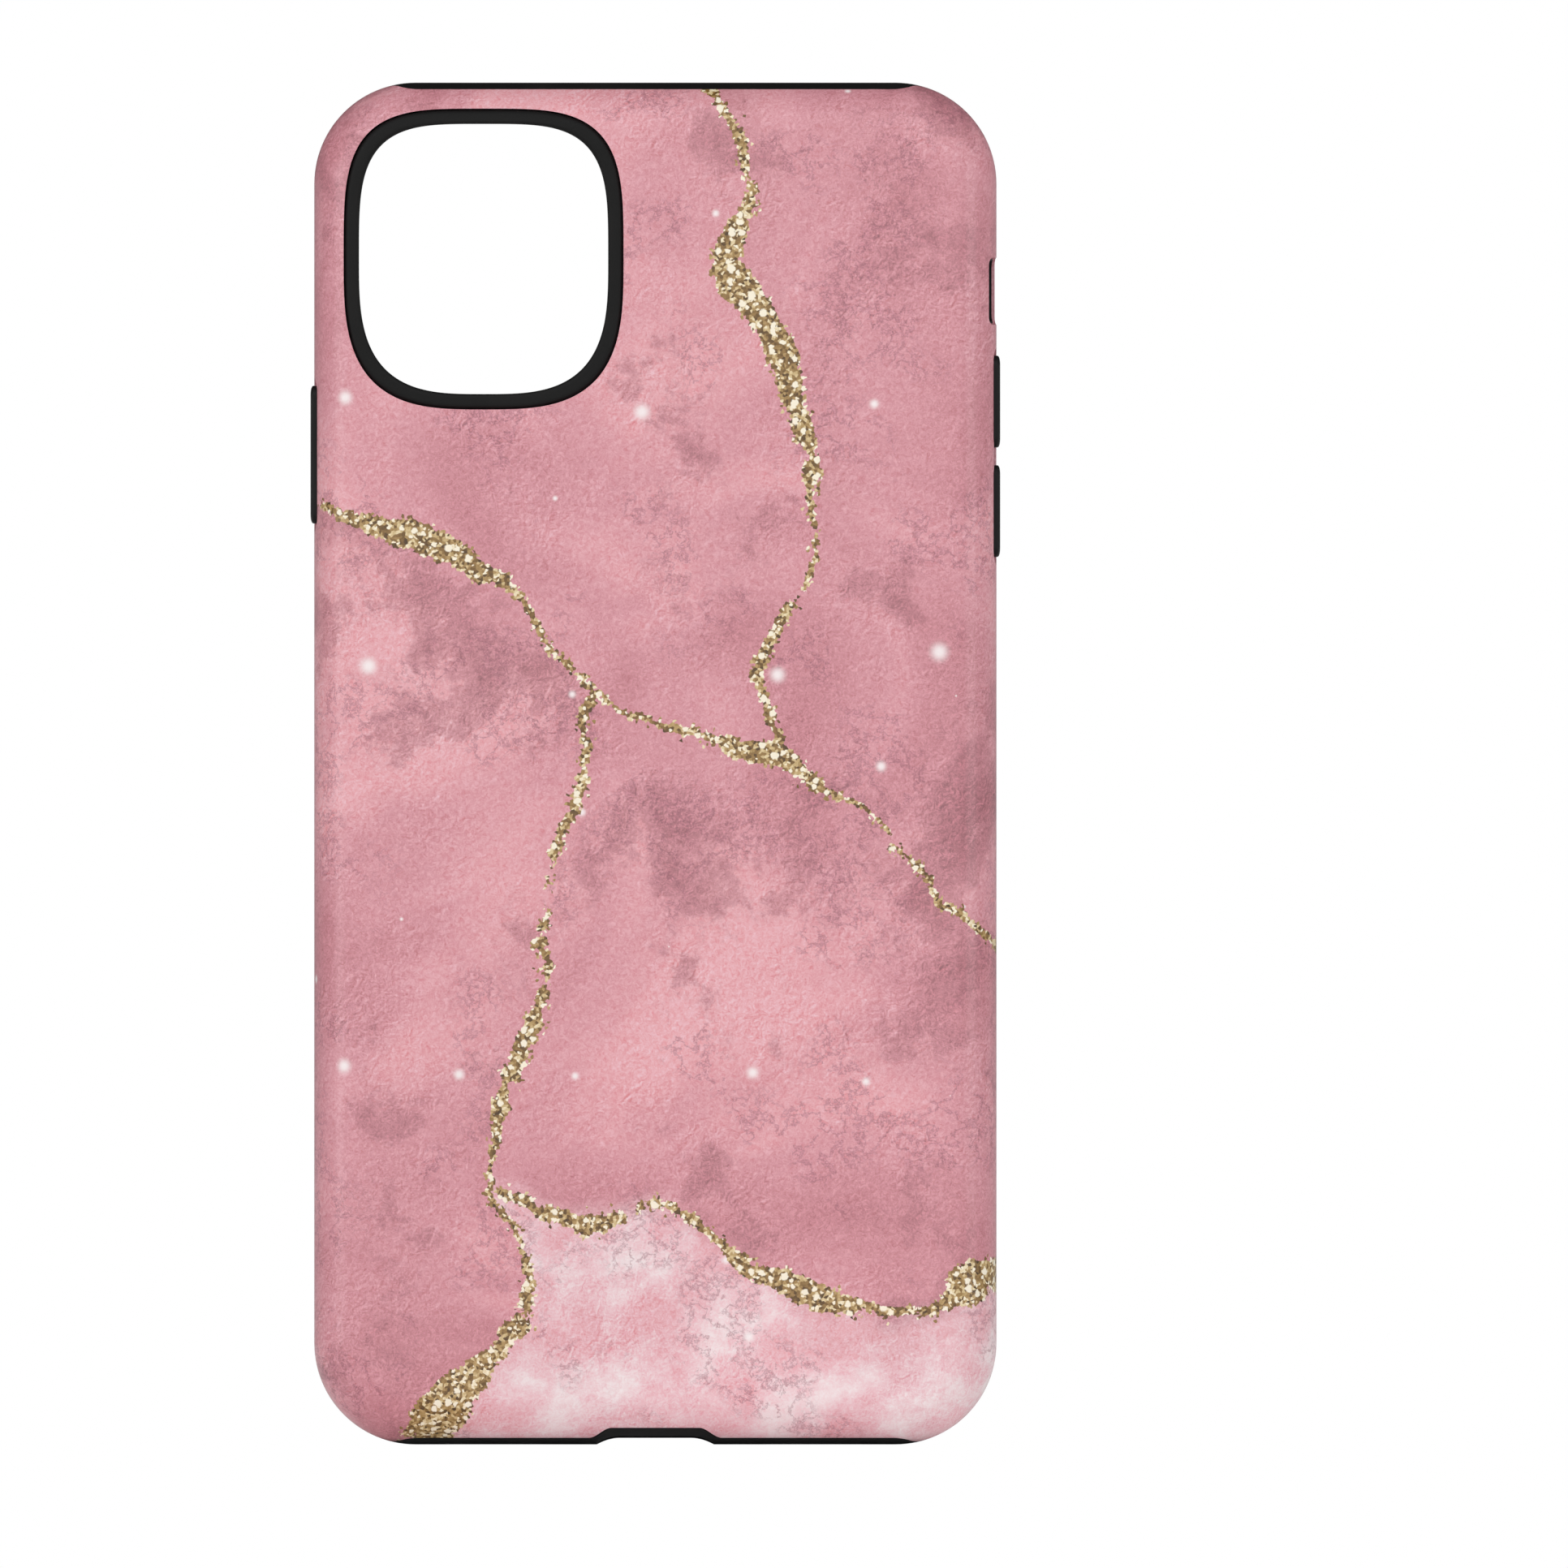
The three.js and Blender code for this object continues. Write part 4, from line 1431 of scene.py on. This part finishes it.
def dots(tree, place):
    """Diagonal rows of flat-topped dots on the flat seat: 1 on a dot and 0 between the dots and
    where the seat curves up. The place is turned so that the pattern's plane is the seat's, and
    the height is the distance from the nearest point of a grid, cut off at the dot's edge."""
    turned = add(tree, "Mapping", {"Vector": place, "Rotation": (np.pi / 2, 0, np.pi / 4)})
    inputs = {"Vector": turned, "Scale": 1 / DOT_SPACING, "Randomness": 0.0}
    away = add(tree, "TexVoronoi", inputs, out="Distance", voronoi_dimensions="2D")
    height = add(tree, "MapRange", [away, *DOT_EDGE, 1.0, 0.0], **SOFT)
    rise = add(tree, "SeparateXYZ", [place], out=1)
    seat = add(tree, "MapRange", [rise, 0.05 * MM, 0.3 * MM, 1.0, 0.0], **SOFT)
    return add(tree, "Math", [height, seat], operation="MULTIPLY")


print("dots on the seat, about:", int(4 * CAVITY_SIDE * CAVITY_END / DOT_SPACING ** 2))

# %% [markdown]
# ## The rubber
#
# Thermoplastic rubber takes the spark-eroded grain of its mould: a dull satin, with grain of a
# tenth of a millimetre, drawn a little coarser so that it shows. It is black right through, so
# wear doesn't change its colour, but the lip that hands and pockets rub gets smoother, and dust
# dulls it in patches. The pads' faces were polished in the mould.

# %% Black rubber
DUST_PATCH = 11 * MM
SPECK = "#3a3837"
SPECK_SIZE = 0.5 * MM
MOULD_GRAIN = 0.16 * MM
RUBBED_FROM = LIP - 0.9 * MM
RUBBED_TO = LIP - 0.1 * MM
# The colour of the dots' tops: partly rubbed lighter by the phone, partly painted light against
# painted shade in the hollows between the dots.
DOT_TOP_RUBBED_AND_LIT = "#343333"


def rubber_colour(tree, place, patches, colour, dusty):
    """Black with dust in patches and sparse grey specks."""
    dust = add(tree, "MapRange", [patches, 0.45, 0.75], **SOFT)
    colour = add(tree, "Mix", {0: dust, 6: light(colour), 7: light(dusty)}, **LAYER)
    specks = add(tree, "TexNoise", lumps(place, SPECK_SIZE, 4.0, 0.7), out="Fac")
    specks = add(tree, "MapRange", [specks, 0.62, 0.8], **SOFT)
    return ink(tree, colour, light(SPECK), specks, 0.35)


def black_rubber(name, colour, dusty, smooth, rough, specular=0.16, dotted=False):
    """Rubber of a colour, with a dustier colour in patches and a range of roughness that falls
    off on the handled lip. Where it is dotted, the dots' tops are a little lighter than the
    hollows between them: partly the phone's rubbing, partly painted shade in the hollows."""
    material, tree = finish(name, {"IOR": 1.5, "Specular IOR Level": specular})
    place = add(tree, "TexCoord", {}, out="Object")
    patches = add(tree, "TexNoise", lumps(place, DUST_PATCH, 5.0, 0.6), out="Fac")
    black = rubber_colour(tree, place, patches, colour, dusty)
    dull = add(tree, "MapRange", [patches, 0.3, 0.7, smooth, rough])
    depth = add(tree, "SeparateXYZ", [place], out=1)
    lip = add(tree, "MapRange", [depth, RUBBED_FROM, RUBBED_TO], **SOFT)
    worn = add(tree, "Math", [lip, -0.14, dull], operation="MULTIPLY_ADD")
    grain = add(tree, "TexNoise", lumps(place, MOULD_GRAIN, 3.0, 0.6), out="Fac")
    relief = {"Height": grain, "Strength": 0.25, "Distance": 0.03 * MM}
    if dotted:
        raised = dots(tree, place)
        stands = {"Height": raised, "Strength": 0.8, "Distance": DOT_HEIGHT}
        relief["Normal"] = add(tree, "Bump", stands)
        # Painted shade: the hollows between the dots are left darker than the lighter tops, besides
        # the tops' rubbing.
        black = ink(tree, black, light(DOT_TOP_RUBBED_AND_LIT), raised, 0.7)
    normal = add(tree, "Bump", relief)
    lay_on(material, {"Base Color": black, "Roughness": worn, "Normal": normal})
    return material


moulded = black_rubber("black_thermoplastic_rubber", "#151515", "#1c1b1b", 0.42, 0.6)
# The inside rubber is lighter than the outer rubber of the same liner: partly a rougher inside
# finish, partly painted light for the shaded inside of the case.
inside = ("dotted_inside_rubber", "#242424", "#2b2a2a", 0.5, 0.68)
dotted_rubber = black_rubber(*inside, specular=0.4, dotted=True)
smooth_rubber = black_rubber("smooth_black_rubber", "#191919", "#1e1e1e", 0.34, 0.46)
liner.data.materials.append(moulded)
liner.data.materials.append(dotted_rubber)
for pad in pads.values():
    pad.data.materials.append(smooth_rubber)

# %% [markdown]
# ## The inside of the liner
#
# The dotted rubber belongs on the faces round the phone only. The cuts above don't say which
# faces those are, so they are found again by the formula of the space that was cut out.

# %% Inside faces
SLACK = 0.01 * MM
DOTTED_SLOT = 1


def paint_inside(piece, slot):
    """Gives the faces round the phone space the material in a slot.

    The space is a stack of rounded rectangles about one core. At depth y its wall stands at
    R - s from the core, where s = r (1 - sin a) and cos a = 1 - 2 y / h. A face is inside when
    its middle is no further out than that, give or take, and between the seat and the lip.
    """
    mesh = piece.data
    middles = np.empty(len(mesh.polygons) * 3)
    mesh.polygons.foreach_get("center", middles)
    x, y, z = middles.reshape(-1, 3).T
    core = np.array([CAVITY_SIDE - CAVITY_RADIUS, CAVITY_END - CAVITY_RADIUS])
    away = np.linalg.norm(np.maximum(np.abs(np.stack([x, z], axis=1)) - core, 0), axis=1)
    level = np.clip(1 - 2 * y / CAVITY_HEIGHT, -1, 1)
    wall = CAVITY_RADIUS - PHONE_ROUND * (1 - np.sqrt(1 - level ** 2))
    deep = (y > -SLACK) & (y < CAVITY_HEIGHT + SLACK)
    inside = deep & (away < wall + 5 * SLACK)
    mesh.polygons.foreach_set("material_index", np.where(inside, slot, 0))
    print("inside faces:", int(inside.sum()), "of", len(mesh.polygons))


paint_inside(liner, DOTTED_SLOT)

# %% [markdown]
# ## The floor
#
# The case is shown on white. The floor is a pale sheet of paper right under it, large enough
# that no view sees its edge.

# %% Floor
FLOOR_REACH = 6.0
FIBRE = 3 * MM
PAPER = ("#f7f7f6", "#fafaf9")
reach = (-FLOOR_REACH, FLOOR_REACH)
corners = [(reach[i], reach[j], -HALF_LENGTH) for i, j in ((0, 0), (1, 0), (1, 1), (0, 1))]
floor = mesh_object("floor", corners, [(0, 1, 2, 3)])
paper, tree = finish("pale_paper_floor", {"Roughness": 0.9, "Specular IOR Level": 0.1})
place = add(tree, "TexCoord", {}, out="Object")
fibres = add(tree, "TexNoise", lumps(place, FIBRE, 3.0), out="Fac")
colour = add(tree, "Mix", {0: fibres, 6: light(PAPER[0]), 7: light(PAPER[1])}, **LAYER)
lay_on(paper, {"Base Color": colour})
floor.data.materials.append(paper)
print("floor, m:", 2 * FLOOR_REACH, "wide")

# %% [markdown]
# ## The room
#
# Most of the light on the back comes from a wide bright wall behind the camera, as in a light
# tent. The rest of the room is dim, and a dark flag hangs high behind the case, so the black
# rubber at the top end stays black. The camera itself sees plain white all round.

# %% Room
FRONT_LIGHT = 0.625
TOP_LIGHT = 0.04
ROOM_LIGHT = 0.13

world = bpy.data.worlds.new("light_tent")
bpy.context.scene.world = world
world.use_nodes = True
tree = world.node_tree
background = tree.nodes["Background"]
background.inputs["Color"].default_value = (1, 1, 1, 1)
towards = add(tree, "TexCoord", {}, out="Generated")
towards = add(tree, "SeparateXYZ", [towards], out=None)
front = add(tree, "MapRange", [towards[1], 0.25, -0.55, 0.0, FRONT_LIGHT], **SOFT)
above = add(tree, "MapRange", [towards[2], 0.2, 0.9, 0.0, TOP_LIGHT], **SOFT)
behind = add(tree, "MapRange", [towards[1], -0.1, 0.4], **SOFT)
high_up = add(tree, "MapRange", [towards[2], 0.0, 0.5], **SOFT)
flag = add(tree, "Math", [behind, high_up], operation="MULTIPLY")
room = add(tree, "Math", [flag, -ROOM_LIGHT, ROOM_LIGHT], operation="MULTIPLY_ADD")
room = add(tree, "Math", [room, front], operation="ADD")
room = add(tree, "Math", [room, above], operation="ADD")
seen = add(tree, "LightPath", {}, out="Is Camera Ray")
strength = add(tree, "Mix", {0: seen, 2: room, 3: 1.0})
tree.links.new(strength, background.inputs["Strength"])
print("light from the front and from the sides:", FRONT_LIGHT + ROOM_LIGHT, ROOM_LIGHT)

# %% [markdown]
# ## The lamps
#
# A large soft lamp beside the camera gives the back its even light and the collar its shading.
# A long strip on each side draws a thin soft highlight along the rolled edges, and two flagged
# fills keep the sides from going dark. The rear lamp lights the floor and, in the views from
# behind, the inside of the liner.

# %% Lamps
LAMPS = {
    "left_strip": (-60, 0, 28, 0.3, True),
    "right_strip": (60, 0, 28, 0.3, True),
    "left_fill": (-90, 10, 60, 0.1, False),
    "right_fill": (90, 10, 60, 0.1, False),
    "front_lamp": (-20, 8, 90, 1.0, True),
    "rear_lamp": (150, 26, 80, 1.6, False),
}


def lamp(name, azimuth, elevation, spread, strength, mirrored):
    """A distant soft lamp. Azimuth 0 is at the camera and grows towards +X, in degrees. A lamp
    that isn't mirrored is a flagged one: it lights, but the gloss doesn't show it."""
    data = bpy.data.lights.new(name, "SUN")
    data.energy = strength
    data.angle = np.radians(spread)
    made = bpy.data.objects.new(name, data)
    bpy.context.scene.collection.objects.link(made)
    made.rotation_euler = (np.radians(90 - elevation), 0, np.radians(azimuth))
    made.visible_glossy = mirrored


for name, settings in LAMPS.items():
    lamp(name, *settings)
bpy.context.scene.view_settings.view_transform = "Standard"
print("lamps:", ", ".join(LAMPS))
